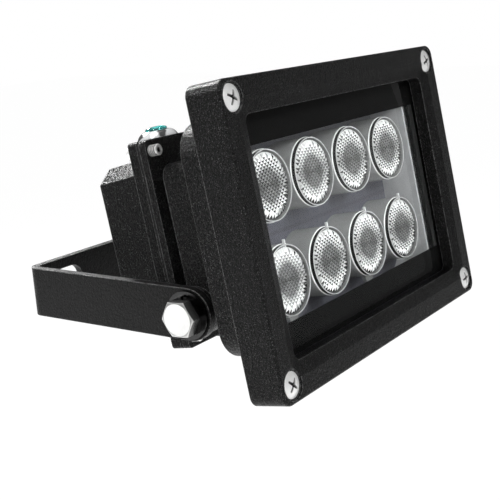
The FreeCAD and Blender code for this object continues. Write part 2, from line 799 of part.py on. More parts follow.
def make_housing():
    body = new_body("main_housing")
    slab(body, box_corners(flange_width, flange_height, d.bezel_corner - d.skirt_wall),
         flange_front, d.bezel_depth)
    slab(body, box_corners(d.tier_two_width, d.tier_two_height, d.tier_two_corner),
         flange_front, tier_two_back)
    slab(body, box_corners(d.rear_width, d.tier_one_height, d.tier_one_corner),
         flange_front, tier_one_back)
    in_rear_plane = at_depth(tier_two_back)
    round_edges(body, d.tier_one_root, lambda edge: in_rear_plane(edge) and on_tier_one(edge))
    round_edges(body, d.tier_two_edge, in_rear_plane)
    slab(body, box_corners(d.neck_width, d.neck_height, d.neck_corner),
         flange_front, plate_back)
    slab(body, box_corners(d.rear_width, d.plate_height, d.plate_corner),
         plate_front, plate_back)
    for side in (-1, 1):
        start = lug_face - d.lug_length if side > 0 else -lug_face
        lug = sketch_on(body, "YZ_Plane", start)
        draw_circle(lug, -d.pivot_drop, -pivot_depth, d.lug_radius)
        feature(body, "Pad", lug, d.lug_length)
    recess(body, box_corners(chamber_width, chamber_height, chamber_corner),
           flange_front, divider_front)
    hollow = sketch_on(body, "XY_Plane", -plate_back)
    hollow_width = d.neck_width - 2 * d.rear_wall
    hollow_height = d.neck_height - 2 * d.rear_wall
    draw_outline(hollow, box_corners(hollow_width, hollow_height, d.neck_corner))
    feature(body, "Pocket", hollow, plate_back - divider_back, backwards=True)
    holes(body, [(as_size(0), -d.lens_drop)], lead_hole, divider_front, divider_back)
    holes(body, four(screw_x, screw_y), d.screw_radius + d.thread_gap,
          flange_front, d.bezel_depth)
    holes(body, four(cover_screw_x, cover_screw_y), d.screw_radius + d.thread_gap,
          plate_front, plate_back)
    holes(body, four(board_screw_x, board_screw_y), d.board_screw + d.thread_gap,
          divider_front, divider_front + d.board_screw_grip + d.thread_gap)
    for side in (-1, 1):
        bore = sketch_on(body, "YZ_Plane", side * lug_face)
        draw_circle(bore, -d.pivot_drop, -pivot_depth, d.bolt_radius + d.thread_gap)
        feature(body, "Pocket", bore, d.bolt_grip + d.small_gap, backwards=side < 0)
    seat_stack(body, "main_housing")


# Rear cover

def inner_outline():
    """Hollow of the rear box, with the corners cut as on its outside."""
    return cut_corners(cover_inner_width, cover_inner_height, d.cover_cut_x, d.cover_cut_y)


def make_rear_cover():
    body = new_body("rear_cover")
    slab(body, box_corners(d.rear_width, d.plate_height, d.plate_corner),
         cover_front, cover_flange_back)
    lofted(body, "AdditiveLoft",
           cut_corners(cover_width, cover_height, d.cover_cut_x, d.cover_cut_y),
           cover_flange_back,
           cut_corners(cover_back_width, cover_back_height, d.cover_cut_x, d.cover_cut_y),
           cover_back)
    round_edges(body, d.cover_edge, at_depth(cover_back))
    top = sketch_on(body, "XZ_Plane", -sensor_foot)
    draw_circle(top, sensor_x, -sensor_depth, d.boss_radius)
    feature(body, "Pad", top, sensor_foot - cover_back_height / 2 + d.cover_wall)
    bottom = sketch_on(body, "XZ_Plane", gland_foot)
    draw_circle(bottom, 0, -gland_depth, d.boss_radius)
    feature(body, "Pad", bottom, gland_foot - cover_back_height / 2 + d.cover_wall,
            backwards=True)
    recess(body, inner_outline(), cover_front, cover_back - d.cover_wall)
    posts(body, four(post_x, post_y), d.post_radius, driver_back, cover_back - d.cover_wall)
    holes(body, four(post_x, post_y), d.board_screw + d.thread_gap,
          driver_back, driver_back + d.driver_screw_grip + d.thread_gap)
    holes(body, four(cover_screw_x, cover_screw_y), d.screw_radius + d.small_gap,
          cover_front, cover_flange_back)
    stem_hole = sketch_on(body, "XZ_Plane", -sensor_foot)
    draw_circle(stem_hole, sensor_x, -sensor_depth, d.stem_radius + d.thread_gap)
    feature(body, "Pocket", stem_hole, d.stem_long, backwards=True)
    gland_hole = sketch_on(body, "XZ_Plane", gland_foot)
    draw_circle(gland_hole, 0, -gland_depth, d.stem_radius + d.thread_gap)
    feature(body, "Pocket", gland_hole, d.stem_long)
    seat_stack(body, "rear_cover")


def make_cover_seal():
    width = d.rear_width - 2 * d.cover_seal_inset
    height = d.plate_height - 2 * d.cover_seal_inset
    plate_piece("cover_seal", [box_corners(width, height, d.plate_corner), inner_outline()],
                plate_back, cover_front,
                [(four(cover_screw_x, cover_screw_y), d.screw_radius + d.thread_gap)])


def make_cover_screw(number, x, y):
    """Pan head screw through the cover's flange; its end stands out in front of the plate."""
    name = "cover_screw_%d" % number
    under_head = -cover_flange_back
    tip = -(plate_front - d.cover_screw_end)
    return joined(name, [
        rod(name + "_shank", d.screw_radius, under_head, tip, x, y),
        rod(name + "_head", d.cover_head, under_head - d.cover_head_high, under_head, x, y),
    ])


def make_cover_screws():
    places = four(cover_screw_x, cover_screw_y)
    screws = [make_cover_screw(number, x, y) for number, (x, y) in enumerate(places, start=1)]
    seat_stack(gathered("cover_screws", screws), "cover_screws")


# Tilt pivots

def make_pivot(side, word):
    """Bolt, lock washer and flat washer outside one arm of the bracket."""
    flat_low = arm_outside + d.side_play
    flat_high = flat_low + d.washer_thick
    lock_high = flat_high + d.spring_thick
    clear = d.bolt_radius + d.bolt_gap
    name = "flat_washer_" + word
    flat = carved(name, rod(name + "_disc", d.washer_radius, flat_low, flat_high),
                  [rod(name + "_hole", clear, flat_low, flat_high)])
    seat_on_pivot(flat, name, side)
    name = "lock_washer_" + word
    ring = carved(name, rod(name + "_disc", d.spring_radius, flat_high, lock_high),
                  [rod(name + "_hole", clear, flat_high, lock_high),
                   block(name + "_split", d.spring_radius, d.washer_thick,
                         flat_high, lock_high, x=(d.spring_radius + clear) / 2)])
    seat_on_pivot(ring, name, side)
    name = "pivot_bolt_" + word
    head_high = lock_high + d.bolt_head
    bolt = joined(name, [
        rod(name + "_shank", d.bolt_radius, lug_face - d.bolt_grip, lock_high),
        chamfered_hexagon(name + "_head", d.bolt_flats, lock_high, head_high, d.bolt_phase),
    ])
    seat_on_pivot(bolt, name, side)


# Inside the lamp chamber

def lens_places():
    """Middle of each lens, left to right, upper row first."""
    places = []
    for row in (0.5, -0.5):
        for column in (-1.5, -0.5, 0.5, 1.5):
            places.append((column * lens_pitch_x, row * d.lens_pitch_y - d.lens_drop))
    return places


def make_holder(number, x, y):
    """Cup that carries a lens; its front rim shows through the window."""
    name = "lens_holder_%d" % number
    low = -board_front
    high = -d.holder_front
    bore = holder_radius - d.holder_rim
    ledge = -(d.holder_front + d.lens_sink + d.lens_thick)
    shell = rod(name + "_shell", holder_radius, low, high, x, y)
    if y.value < 0:
        peg_x = x - holder_radius * cosine(d.peg_turn)
        peg_y = y + holder_radius * sine(d.peg_turn)
        key = block(name + "_key", d.peg_wide, d.peg_long, ledge, high, peg_x, peg_y)
        shell = joined(name + "_solid", [shell, key])
    holder = carved(name, shell, [
        rod(name + "_mouth", bore, ledge, high, x, y),
        rod(name + "_throat", bore - d.holder_seat, low, ledge, x, y),
    ])
    seat_stack(holder, name)


def make_lens(number, x, y):
    """Collimating lens: a disc on a cone that narrows towards the emitter."""
    name = "lens_%d" % number
    high = -(d.holder_front + d.lens_sink)
    ledge = high - d.lens_thick
    tip = high - d.lens_long
    wide = holder_radius - d.holder_rim - d.small_gap
    cone_wide = wide - d.holder_seat - d.small_gap
    solid = joined(name + "_solid", [
        rod(name + "_disc", wide, ledge, high, x, y),
        taper(name + "_cone", d.lens_tip, cone_wide, tip, ledge, x, y),
    ])
    lens = carved(name, solid, [
        rod(name + "_well", d.lens_well, tip, tip + d.lens_well_deep, x, y)])
    seat_stack(lens, name)


def make_emitters():
    chips = []
    for number, (x, y) in enumerate(lens_places(), start=1):
        name = "emitter_%d" % number
        low = -board_front
        top = low + d.emitter_high
        chips.append(joined(name, [
            block(name + "_chip", d.emitter_side, d.emitter_side, low, top, x, y),
            dome(name + "_dome", d.emitter_dome, d.emitter_rise, top, x, y),
        ]))
    seat_stack(gathered("led_emitters", chips), "led_emitters")


def make_lamp_chamber():
    insert = box_corners(insert_width, insert_height, insert_corner)
    inner = box_corners(insert_width - 2 * d.tray_wall, insert_height - 2 * d.tray_wall,
                        insert_corner - d.tray_wall)
    plate_piece("light_tray", [insert, inner], flange_front + d.small_gap, board_front)
    wires = [(side * d.lead_spread / 2, -d.lens_drop) for side in (-1, 1)]
    screw_places = four(board_screw_x, board_screw_y)
    through = d.board_screw + d.small_gap
    plate_piece("led_board", [insert], board_front, board_back, [(screw_places, through)])
    plate_piece("heat_pad", [insert], board_back, divider_front,
                [(screw_places, through), ([(as_size(0), -d.lens_drop)], lead_hole)])
    make_emitters()
    for number, (x, y) in enumerate(lens_places(), start=1):
        make_holder(number, x, y)
        make_lens(number, x, y)
    screws = [small_screw("board_screw_%d" % number, -board_front,
                          -(divider_front + d.board_screw_grip), x, y)
              for number, (x, y) in enumerate(screw_places, start=1)]
    seat_stack(gathered("board_screws", screws), "board_screws")
    leads = [rod("lead_%d" % number, d.lead_radius, -driver_front, -board_back, x, y)
             for number, (x, y) in enumerate(wires, start=1)]
    seat_stack(gathered("driver_leads", leads), "driver_leads")


def small_screw(name, seat_level, tip, x, y):
    """M3 pan head screw whose head stands on a level."""
    low = min(seat_level, tip, key=lambda level: level.value)
    return joined(name, [
        rod(name + "_shank", d.board_screw, low, seat_level, x, y),
        rod(name + "_head", d.board_screw_head, seat_level,
            seat_level + d.board_screw_high, x, y),
    ])


# Inside the rear cover

def make_driver():
    board = box_corners(driver_width, driver_height)
    places = four(post_x, post_y)
    through = d.board_screw + d.small_gap
    plate_piece("driver_board", [board], driver_front, driver_back, [(places, through)])
    screws = [small_screw("driver_screw_%d" % number, -driver_front,
                          -(driver_back + d.driver_screw_grip), x, y)
              for number, (x, y) in enumerate(places, start=1)]
    seat_stack(gathered("driver_screws", screws), "driver_screws")
    surface = -driver_front
    coil_x = -driver_width / 4
    coil = rod("coil_drum", d.coil_radius, surface, surface + d.coil_high, coil_x, 0)
    seat_stack(gathered("driver_coil", [coil]), "driver_coil")
    cap_x = driver_width / 4
    cap_y = d.cap_radius + d.cap_gap / 2
    caps = [rod("cap_%d" % number, d.cap_radius, surface, surface + d.cap_high, cap_x, side * cap_y)
            for number, side in enumerate((-1, 1), start=1)]
    seat_stack(gathered("driver_capacitors", caps), "driver_capacitors")


def make_grommet():
    """Bush that lines the wire hole between the two chambers."""
    name = "lead_grommet"
    back = -divider_back
    outer = lead_hole - d.thread_gap
    bush = joined(name + "_solid", [
        rod(name + "_sleeve", outer, back, -divider_front, 0, -d.lens_drop),
        rod(name + "_lip", outer + d.grommet_lip, back - d.grommet_wall, back, 0, -d.lens_drop),
    ])
    seat_stack(carved(name, bush, [
        rod(name + "_bore", outer - d.grommet_wall, back - d.grommet_wall,
            -divider_front, 0, -d.lens_drop)]), name)


# Light sensor on the rear cover's top, drawn in the lamp frame

def make_sensor():
    x = sensor_x
    y = sensor_depth
    foot = sensor_foot + d.sensor_washer
    shoulder = foot + d.sensor_high
    top = shoulder + d.sensor_shoulder
    stem_end = sensor_foot - d.stem_long
    lens_low = top - d.sensor_lens_deep
    cell_low = lens_low - d.sensor_cell_deep
    washer = carved("sensor_washer", rod("sensor_washer_disc", d.sensor_radius,
                                         sensor_foot, foot, x, y),
                    [rod("sensor_washer_hole", d.stem_radius + d.thread_gap,
                         sensor_foot, foot, x, y)])
    seat_upright(washer, "sensor_washer")
    shell = joined("sensor_housing_solid", [
        rod("sensor_stem", d.stem_radius, stem_end, foot, x, y),
        rod("sensor_body", d.sensor_radius, foot, shoulder, x, y),
        sensor_crown(x, y, shoulder, top),
    ])
    housing = carved("sensor_housing", shell, [
        rod("sensor_lens_seat", d.sensor_lens + d.thread_gap, lens_low, top, x, y),
        rod("sensor_cell_seat", d.sensor_cell + d.thread_gap, cell_low, lens_low, x, y),
        rod("sensor_wire_way", d.lead_radius * 2, stem_end, cell_low, x, y),
    ])
    seat_upright(housing, "sensor_housing")
    lens = joined("sensor_lens", [
        rod("sensor_lens_disc", d.sensor_lens, lens_low, top, x, y),
        dome("sensor_lens_crown", d.sensor_lens, d.sensor_lens_rise, top, x, y),
    ])
    seat_upright(lens, "sensor_lens")
    cell = rod("sensor_cell_can", d.sensor_cell, cell_low, lens_low, x, y)
    seat_upright(gathered("sensor_cell", [cell]), "sensor_cell")
    inside = cover_inner_height / 2
    seat_upright(thin_nut("sensor_nut", inside - d.nut_thick, inside, x, y), "sensor_nut")


def sensor_crown(x, y, low, high):
    """Round shoulder between the sensor's body and its mouth."""
    crown = doc.addObject("Part::Common", "sensor_crown")
    rise = high - low
    narrowing = d.sensor_radius - sensor_mouth
    ball_radius = (narrowing * narrowing + rise * rise) / (2 * narrowing)
    ring = doc.addObject("Part::Torus", "sensor_crown_ring")
    bind(ring, "Radius1", d.sensor_radius - ball_radius)
    bind(ring, "Radius2", ball_radius)
    place(ring, x, y, low)
    crown.Base = joined("sensor_crown_solid", [
        ring, rod("sensor_crown_core", sensor_mouth, low, high, x, y)])
    crown.Tool = rod("sensor_crown_limit", d.sensor_radius, low, high, x, y)
    return crown


def thin_nut(name, low, high, x, y):
    return carved(name, hexagon(name + "_hexagon", d.nut_flats, low, high, x, y),
                  [rod(name + "_hole", d.stem_radius + d.thread_gap, low, high, x, y)])


# Cable gland under the rear cover, drawn in the lamp frame

def make_gland():
    y = gland_depth
    seat_level = -gland_foot
    collar = seat_level - d.gland_collar
    spigot = collar - d.gland_spigot_long
    body = joined("gland_body_solid", [
        rod("gland_stem", d.stem_radius, seat_level, seat_level + d.stem_long, 0, y),
        hexagon("gland_hexagon", d.gland_flats, collar, seat_level, 0, y),
        rod("gland_spigot", d.gland_spigot, spigot, collar, 0, y),
    ])
    gland = carved("gland_body", body, [
        rod("gland_way", d.cord_hole, collar, seat_level + d.stem_long, 0, y),
        rod("gland_seal_bore", d.gland_bore, spigot, collar, 0, y),
    ])
    seat_upright(gland, "gland_body")
    cap_top = collar - d.small_gap
    cap_end = cap_top - d.gland_cap_long
    floor = cap_end + d.gland_cap_floor
    seal = carved("gland_rubber", rod("gland_rubber_sleeve", d.gland_bore - d.thread_gap,
                                      floor, collar, 0, y),
                  [rod("gland_rubber_way", d.cord_hole, floor, collar, 0, y)])
    seat_upright(seal, "gland_rubber")
    cap = carved("gland_cap", rod("gland_cap_shell", d.gland_cap, cap_end, cap_top, 0, y), [
        rod("gland_cap_thread", d.gland_spigot + d.thread_gap, floor, cap_top, 0, y),
        rod("gland_cap_way", d.cord_hole + d.small_gap, cap_end, floor, 0, y),
    ])
    seat_upright(cap, "gland_cap")
    inside = -cover_inner_height / 2
    seat_upright(thin_nut("gland_nut", inside, inside + d.nut_thick, 0, y), "gland_nut")


def check_and_write():
    """Stop on a failed object, then write each piece to its own file."""
    doc.recompute()
    failed = [obj.Name for obj in doc.Objects
              if "Invalid" in obj.State or "Error" in obj.State]
    if failed:
        raise RuntimeError("failed objects: " + ", ".join(failed))
    os.makedirs("parts", exist_ok=True)
    for piece in pieces:
        shape = piece.Shape
        if shape.isNull() or not shape.isValid() or not shape.Solids:
            raise RuntimeError("no valid solid in " + piece.Label)
        print("%-20s %d solids %.1f mm3" % (piece.Label, len(shape.Solids), shape.Volume))
    for piece in pieces:
        piece.Shape.exportStep("parts/%s.step" % piece.Label)


make_bracket()
make_bezel()
make_front_screws()
make_window()
make_housing()
make_rear_cover()
make_cover_seal()
make_cover_screws()
make_pivot(-1, "left")
make_pivot(1, "right")
make_lamp_chamber()
make_grommet()
make_driver()
make_sensor()
make_gland()
check_and_write()
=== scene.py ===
import json
import math

import bmesh
import bpy
from mathutils import Matrix, Vector


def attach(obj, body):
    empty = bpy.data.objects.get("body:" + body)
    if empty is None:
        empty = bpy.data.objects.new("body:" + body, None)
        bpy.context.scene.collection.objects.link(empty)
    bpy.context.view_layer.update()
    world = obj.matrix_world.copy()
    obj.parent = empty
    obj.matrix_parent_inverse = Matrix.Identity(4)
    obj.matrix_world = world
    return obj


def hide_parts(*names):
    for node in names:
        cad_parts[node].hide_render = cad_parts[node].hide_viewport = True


# Infrared illuminator in its wall bracket. Metres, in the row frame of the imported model.
# Pieces of the lamp are drawn in the lamp frame: x across, y backwards, z up from the bezel's centre.

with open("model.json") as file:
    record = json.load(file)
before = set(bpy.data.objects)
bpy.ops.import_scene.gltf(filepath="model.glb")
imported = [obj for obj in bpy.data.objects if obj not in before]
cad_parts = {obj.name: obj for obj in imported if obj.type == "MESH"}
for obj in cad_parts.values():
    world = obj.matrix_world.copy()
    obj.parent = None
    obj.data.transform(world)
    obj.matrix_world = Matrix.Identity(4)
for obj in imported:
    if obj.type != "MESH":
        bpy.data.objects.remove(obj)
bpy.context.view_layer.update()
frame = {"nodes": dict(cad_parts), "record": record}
nodes = frame["nodes"]
scene = bpy.context.scene
scene.view_settings.view_transform = "Standard"
MM = 0.001


# The lamp frame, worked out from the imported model

def corners(points):
    """Lowest and highest corner of some points."""
    low = Vector([min(point[i] for point in points) for i in range(3)])
    high = Vector([max(point[i] for point in points) for i in range(3)])
    return low, high


def lamp_matrix():
    """Lamp frame to row frame: the tilt comes from the cord entry's axis, the origin from the bezel."""
    mounts = {mount["name"]: mount for mount in frame["record"]["mounts"]}
    down = Vector(mounts["cord_entry"]["axis"])
    up = -down.normalized()
    back = up.cross(Vector((1, 0, 0)))
    turn = Matrix((Vector((1, 0, 0)), back, up)).transposed()
    vertices = nodes["bezel_frame"].data.vertices
    low, high = corners([turn.transposed() @ vertex.co for vertex in vertices])
    middle = (low + high) / 2
    origin = turn @ Vector((middle.x, low.y, middle.z))
    return Matrix.Translation(origin) @ turn.to_4x4()


LAMP = lamp_matrix()
TO_LAMP = LAMP.inverted()


def lamp_box(node):
    """Lowest and highest corner of a node in the lamp frame."""
    return corners([TO_LAMP @ vertex.co for vertex in nodes[node].data.vertices])


# Materials

class Paint:
    """A procedural material on one Principled shader, textured in object coordinates."""

    def __init__(self, name, **sockets):
        self.material = bpy.data.materials.new(name)
        self.material.use_nodes = True
        self.tree = self.material.node_tree
        self.shader = self.tree.nodes["Principled BSDF"]
        self.output = self.tree.nodes["Material Output"]
        self.place = self.node("TexCoord").outputs["Object"]
        for socket, value in sockets.items():
            self.shader.inputs[socket.replace("_", " ")].default_value = value

    def node(self, kind, **settings):
        made = self.tree.nodes.new("ShaderNode" + kind)
        for key, value in settings.items():
            setattr(made, key, value)
        return made

    def link(self, source, target):
        self.tree.links.new(source, target)

    def noise(self, size, detail=2.0, roughness=0.5, stretch=(1, 1, 1)):
        """Noise whose features are about size metres across."""
        mapping = self.node("Mapping")
        mapping.inputs["Scale"].default_value = stretch
        self.link(self.place, mapping.inputs["Vector"])
        made = self.node("TexNoise")
        made.inputs["Scale"].default_value = 1 / size
        made.inputs["Detail"].default_value = detail
        made.inputs["Roughness"].default_value = roughness
        self.link(mapping.outputs["Vector"], made.inputs["Vector"])
        return made.outputs["Fac"]

    def ramp(self, source, stops):
        """Colour ramp; stops are (place, grey or colour)."""
        made = self.node("ValToRGB")
        elements = made.color_ramp.elements
        while len(elements) < len(stops):
            elements.new(0.5)
        for element, (place, colour) in zip(elements, stops):
            element.position = place
            grey = isinstance(colour, (int, float))
            element.color = (colour, colour, colour, 1) if grey else (*colour, 1)
        self.link(source, made.inputs["Fac"])
        return made.outputs["Color"]

    def colour(self, source):
        self.link(source, self.shader.inputs["Base Color"])

    def roughness(self, source, low, high):
        made = self.node("MapRange")
        made.inputs["To Min"].default_value = low
        made.inputs["To Max"].default_value = high
        self.link(source, made.inputs["Value"])
        self.link(made.outputs["Result"], self.shader.inputs["Roughness"])

    def maths(self, operation, one, other=None):
        made = self.node("Math", operation=operation)
        for socket, value in zip(made.inputs, (one, other)):
            if isinstance(value, (int, float)):
                socket.default_value = value
            elif value is not None:
                self.link(value, socket)
        return made.outputs["Value"]

    def split(self, source):
        """X, Y and Z of a direction or place."""
        made = self.node("SeparateXYZ")
        self.link(source, made.inputs["Vector"])
        return made.outputs

    def off_axis(self, spot):
        """Distance of a split place from the piece's own y axis."""
        across = self.maths("MULTIPLY", spot["X"], spot["X"])
        up = self.maths("MULTIPLY", spot["Z"], spot["Z"])
        return self.maths("SQRT", self.maths("ADD", across, up))

    def mixed(self, blend, factor, one, other):
        """Two colours mixed; the factor is a number or a socket."""
        made = self.node("Mix", data_type="RGBA", blend_type=blend)
        if isinstance(factor, (int, float)):
            made.inputs["Factor"].default_value = factor
        else:
            self.link(factor, made.inputs["Factor"])
        self.link(one, made.inputs[6])
        self.link(other, made.inputs[7])
        return made.outputs[2]

    def edges(self, radius):
        """Rounds sharp edges to this radius in the light, and says where they are."""
        bevel = self.node("Bevel", samples=4)
        bevel.inputs["Radius"].default_value = radius
        self.link(bevel.outputs["Normal"], self.shader.inputs["Normal"])
        dot = self.node("VectorMath", operation="DOT_PRODUCT")
        self.link(bevel.outputs["Normal"], dot.inputs[0])
        self.link(self.node("NewGeometry").outputs["True Normal"], dot.inputs[1])
        return self.maths("SUBTRACT", 1.0, dot.outputs["Value"])

    def bump(self, height, depth, strength=1.0):
        """Bump of a real depth in metres; calls add up."""
        made = self.node("Bump")
        made.inputs["Distance"].default_value = depth
        made.inputs["Strength"].default_value = strength
        self.link(height, made.inputs["Height"])
        before = self.shader.inputs["Normal"]
        if before.is_linked:
            self.link(before.links[0].from_socket, made.inputs["Normal"])
        self.link(made.outputs["Normal"], before)


def powder_coat(name, dark, grey, fleck, grain, depth, rough):
    """Black textured powder coat: dark hollows, greyer grains, fine flecks and painted highlights along
    the edges.
    """
    paint = Paint(name, Specular_IOR_Level=0.13)
    painted_highlight_edges = paint.edges(0.6 * MM)
    grains = paint.noise(grain, 3.0, 0.65)
    fine = paint.noise(grain * 0.3, 1.0)
    coat = paint.ramp(grains, [(0.4, dark * 0.5), (0.5, dark * 2), (0.57, grey * 0.5), (0.66, grey)])
    flecks = paint.ramp(fine, [(0.66, 0.0), (0.74, 1.0)])
    pale = paint.ramp(fine, [(0.3, fleck * 0.5), (0.75, fleck * 1.3)])
    speckled = paint.mixed("MIX", flecks, coat, pale)
    # Painted highlight: a broken pale line along the rounded edges, where lamps would catch them.
    edge = paint.maths("MULTIPLY", paint.ramp(painted_highlight_edges, [(0.01, 0.0), (0.18, 1.0)]),
                       paint.ramp(paint.noise(0.8 * MM, 2.0), [(0.4, 0.15), (0.55, 1.0)]))
    lit = paint.ramp(fine, [(0.3, 0.12), (0.75, 0.4)])
    paint.colour(paint.mixed("MIX", edge, speckled, lit))
    paint.roughness(paint.noise(grain * 12, 2.0), *rough)
    paint.bump(grains, depth)
    paint.bump(fine, depth * 0.4)
    return paint.material


def plated(name, colour, rough, grain=0.4 * MM, metallic=1.0):
    """Plated steel with faint marks, and painted shade where a mesh's vertices ask for it: in screw
    heads' crosses, thread grooves, centre marks and on a bolt's face edge and flats.
    """
    paint = Paint(name, Metallic=metallic)
    marks = paint.noise(grain * 5, 3.0, 0.6)
    clean = paint.ramp(marks, [(0.3, [c * 0.9 for c in colour]), (0.7, colour)])
    # Painted shade, read from a per-vertex value that the screw and bolt meshes set.
    recess = paint.node("Attribute", attribute_name="recess")
    shade = paint.ramp(recess.outputs["Fac"], [(0.0, 1.0), (1.0, 0.02)])
    paint.colour(paint.mixed("MULTIPLY", 1.0, clean, shade))
    paint.roughness(paint.noise(grain * 3, 2.0), *rough)
    paint.bump(paint.noise(grain, 2.0, stretch=(1, 6, 1)), 0.004 * MM, 0.6)
    return paint.material


def polished_dome(name, colour):
    """Chrome with painted reflections: dark on its upright side and round its mouth, bright on its
    shoulder, in bright and dark blotches.
    """
    paint = Paint(name, Metallic=0.4)
    low, high = lamp_box("sensor_housing")
    tall = high.z - low.z
    share = paint.maths("DIVIDE", paint.split(paint.place)["Y"], tall)
    foot = (lamp_box("sensor_washer")[1].z - low.z) / tall
    edge = foot + DOME_EDGE / tall
    seat = edge + DOME_RISE / tall
    # Painted reflection: dark on the upright side and round the mouth, bright on the shoulder.
    shade = paint.ramp(share, [(edge - 0.02, 0.15), (edge + 0.1, 0.8), (edge + 0.16, 1.0),
                               (seat - 0.01, 1.0), (seat, 0.1)])
    # Painted reflection: random bright and dark blotches.
    painted_reflection_blotches = paint.ramp(paint.noise(5 * MM, 1.0), [(0.45, [c * 0.1 for c in colour]), (0.53, colour)])
    paint.colour(paint.mixed("MULTIPLY", 1.0, painted_reflection_blotches, shade))
    paint.roughness(paint.noise(2 * MM, 2.0), 0.04, 0.12)
    return paint.material


def plastic(name, colour, rough, grain=0.5 * MM, depth=0.03 * MM, shine=0.5):
    """Moulded plastic or rubber with a faint cloud and grain."""
    paint = Paint(name, Specular_IOR_Level=shine)
    cloud = paint.noise(grain * 10, 2.0)
    paint.colour(paint.ramp(cloud, [(0.3, [c * 0.85 for c in colour]), (0.7, colour)]))
    paint.roughness(cloud, *rough)
    paint.bump(paint.noise(grain, 2.0), depth)
    return paint.material


def clear_glass(name, tint, rough, index):
    """Glass that lets light through to what is behind it."""
    paint = Paint(name, Transmission_Weight=1.0, IOR=index, Roughness=rough)
    smear = paint.noise(30 * MM, 2.0)
    paint.colour(paint.ramp(smear, [(0.3, [c * 0.97 for c in tint]), (0.7, tint)]))
    through = paint.node("BsdfTransparent")
    through.inputs["Color"].default_value = (*[c * 0.92 for c in tint], 1)
    mix = paint.node("MixShader")
    paint.link(paint.node("LightPath").outputs["Is Shadow Ray"], mix.inputs["Fac"])
    paint.link(paint.shader.outputs["BSDF"], mix.inputs[1])
    paint.link(through.outputs["BSDF"], mix.inputs[2])
    paint.link(mix.outputs["Shader"], paint.output.inputs["Surface"])
    return paint.material


def lens_holder_plastic(name):
    """Grey plastic with painted light on its lip: a painted highlight in front, painted shade down its
    side and a painted highlight at its foot.
    """
    paint = Paint(name, Specular_IOR_Level=0.5)
    spot = paint.split(paint.place)
    share = paint.maths("DIVIDE", spot["Y"], LIP_DEPTH * 2)
    # Painted light on the lip: a painted highlight on its front, painted shade down its side, a painted
    # highlight on the step at its foot.
    painted_lip_light = [(0.0, 0.5), (0.04, 0.45), (0.06, 0.01), (0.46, 0.01), (0.5, 0.95), (0.57, 0.95),
             (0.62, 0.34)]
    outside = paint.maths("GREATER_THAN", paint.off_axis(spot), HOLDER_RADIUS - LIP_STEP - LIP / 2)
    # Inside the lip: painted shade, darker deeper in.
    inner = paint.ramp(share, [(0.0, 0.5), (0.04, 0.3), (0.6, 0.25)])
    tone = paint.mixed("MIX", outside, inner, paint.ramp(share, painted_lip_light))
    cloud = paint.ramp(paint.noise(4 * MM, 2.0), [(0.3, 0.88), (0.7, 1.0)])
    paint.colour(paint.mixed("MULTIPLY", 1.0, tone, cloud))
    paint.roughness(paint.noise(3 * MM), 0.15, 0.3)
    paint.bump(paint.noise(0.5 * MM), 0.03 * MM)
    return paint.material


def circuit_board(name):
    """Dark solder mask with faint copper tracks below it."""
    paint = Paint(name, Specular_IOR_Level=0.5)
    tracks = paint.node("TexBrick")
    paint.link(paint.place, tracks.inputs["Vector"])
    tracks.inputs["Scale"].default_value = 160
    tracks.inputs["Mortar Size"].default_value = 0.02
    tracks.inputs["Color1"].default_value = (0.075, 0.075, 0.095, 1)
    tracks.inputs["Color2"].default_value = (0.085, 0.085, 0.105, 1)
    tracks.inputs["Mortar"].default_value = (0.06, 0.06, 0.075, 1)
    paint.colour(tracks.outputs["Color"])
    paint.roughness(paint.noise(4 * MM), 0.35, 0.55)
    paint.bump(tracks.outputs["Fac"], 0.02 * MM)
    return paint.material


def lens_face(name):
    """Facetted lens whose colour is painted light: a darker heart in a bright ring, each prism with a
    painted highlight on one side and painted shade on the others.
    """
    paint = Paint(name, Roughness=0.08, Specular_IOR_Level=1.0)
    spot = paint.split(paint.place)
    out = paint.off_axis(spot)
    wobble = paint.maths("MULTIPLY", paint.noise(1.5 * MM, 2.0), LENS_WOBBLE)
    share = paint.maths("DIVIDE", paint.maths("ADD", out, wobble), LENS_RADIUS + LENS_WOBBLE / 2)
    # Painted light: a darker heart and a bright ring, lighter above and below the middle.
    ring = paint.ramp(share, [(0.0, 0.12), (0.55, 0.18), (0.68, 0.7), (0.86, 1.0), (1.0, 0.7)])
    height = paint.maths("DIVIDE", paint.maths("ABSOLUTE", spot["Z"]),
                         paint.maths("MAXIMUM", out, 0.5 * MM))
    side = paint.ramp(height, [(0.15, 0.4), (0.8, 1.0)])
    # Painted highlight on prism faces turned up and towards negative x, painted shade on the others and
    # on their flanks.
    facing = paint.split(paint.node("TexCoord").outputs["Normal"])
    tilt = paint.maths("ADD", facing["Z"], paint.maths("MULTIPLY", facing["X"], -0.8))
    facet = paint.ramp(paint.maths("ADD", tilt, 0.1), [(0.0, 0.01), (0.3, 1.0)])
    painted_flank_shade = paint.ramp(paint.maths("ABSOLUTE", facing["Y"]), [(0.3, 0.02), (0.6, 1.0)])
    bright = paint.mixed("MULTIPLY", 1.0, ring, side)
    paint.colour(paint.mixed("MULTIPLY", 1.0, paint.mixed("MULTIPLY", 1.0, bright, facet), painted_flank_shade))
    return paint.material


# Sizes that materials and meshes share: lens, lip of its holder, dome of the light sensor

def half_width(node):
    low, high = lamp_box(node)
    return (high.x - low.x) / 2


LENS_RADIUS = half_width("lens_1")
LENS_WOBBLE = 2.5 * MM
HOLDER_RADIUS = half_width("lens_holder_1")
LIP = 0.45 * MM
LIP_STEP = 0.25 * MM
LIP_DEPTH = 1.5 * MM
DOME_EDGE = 2.9 * MM
DOME_RISE = 4.5 * MM

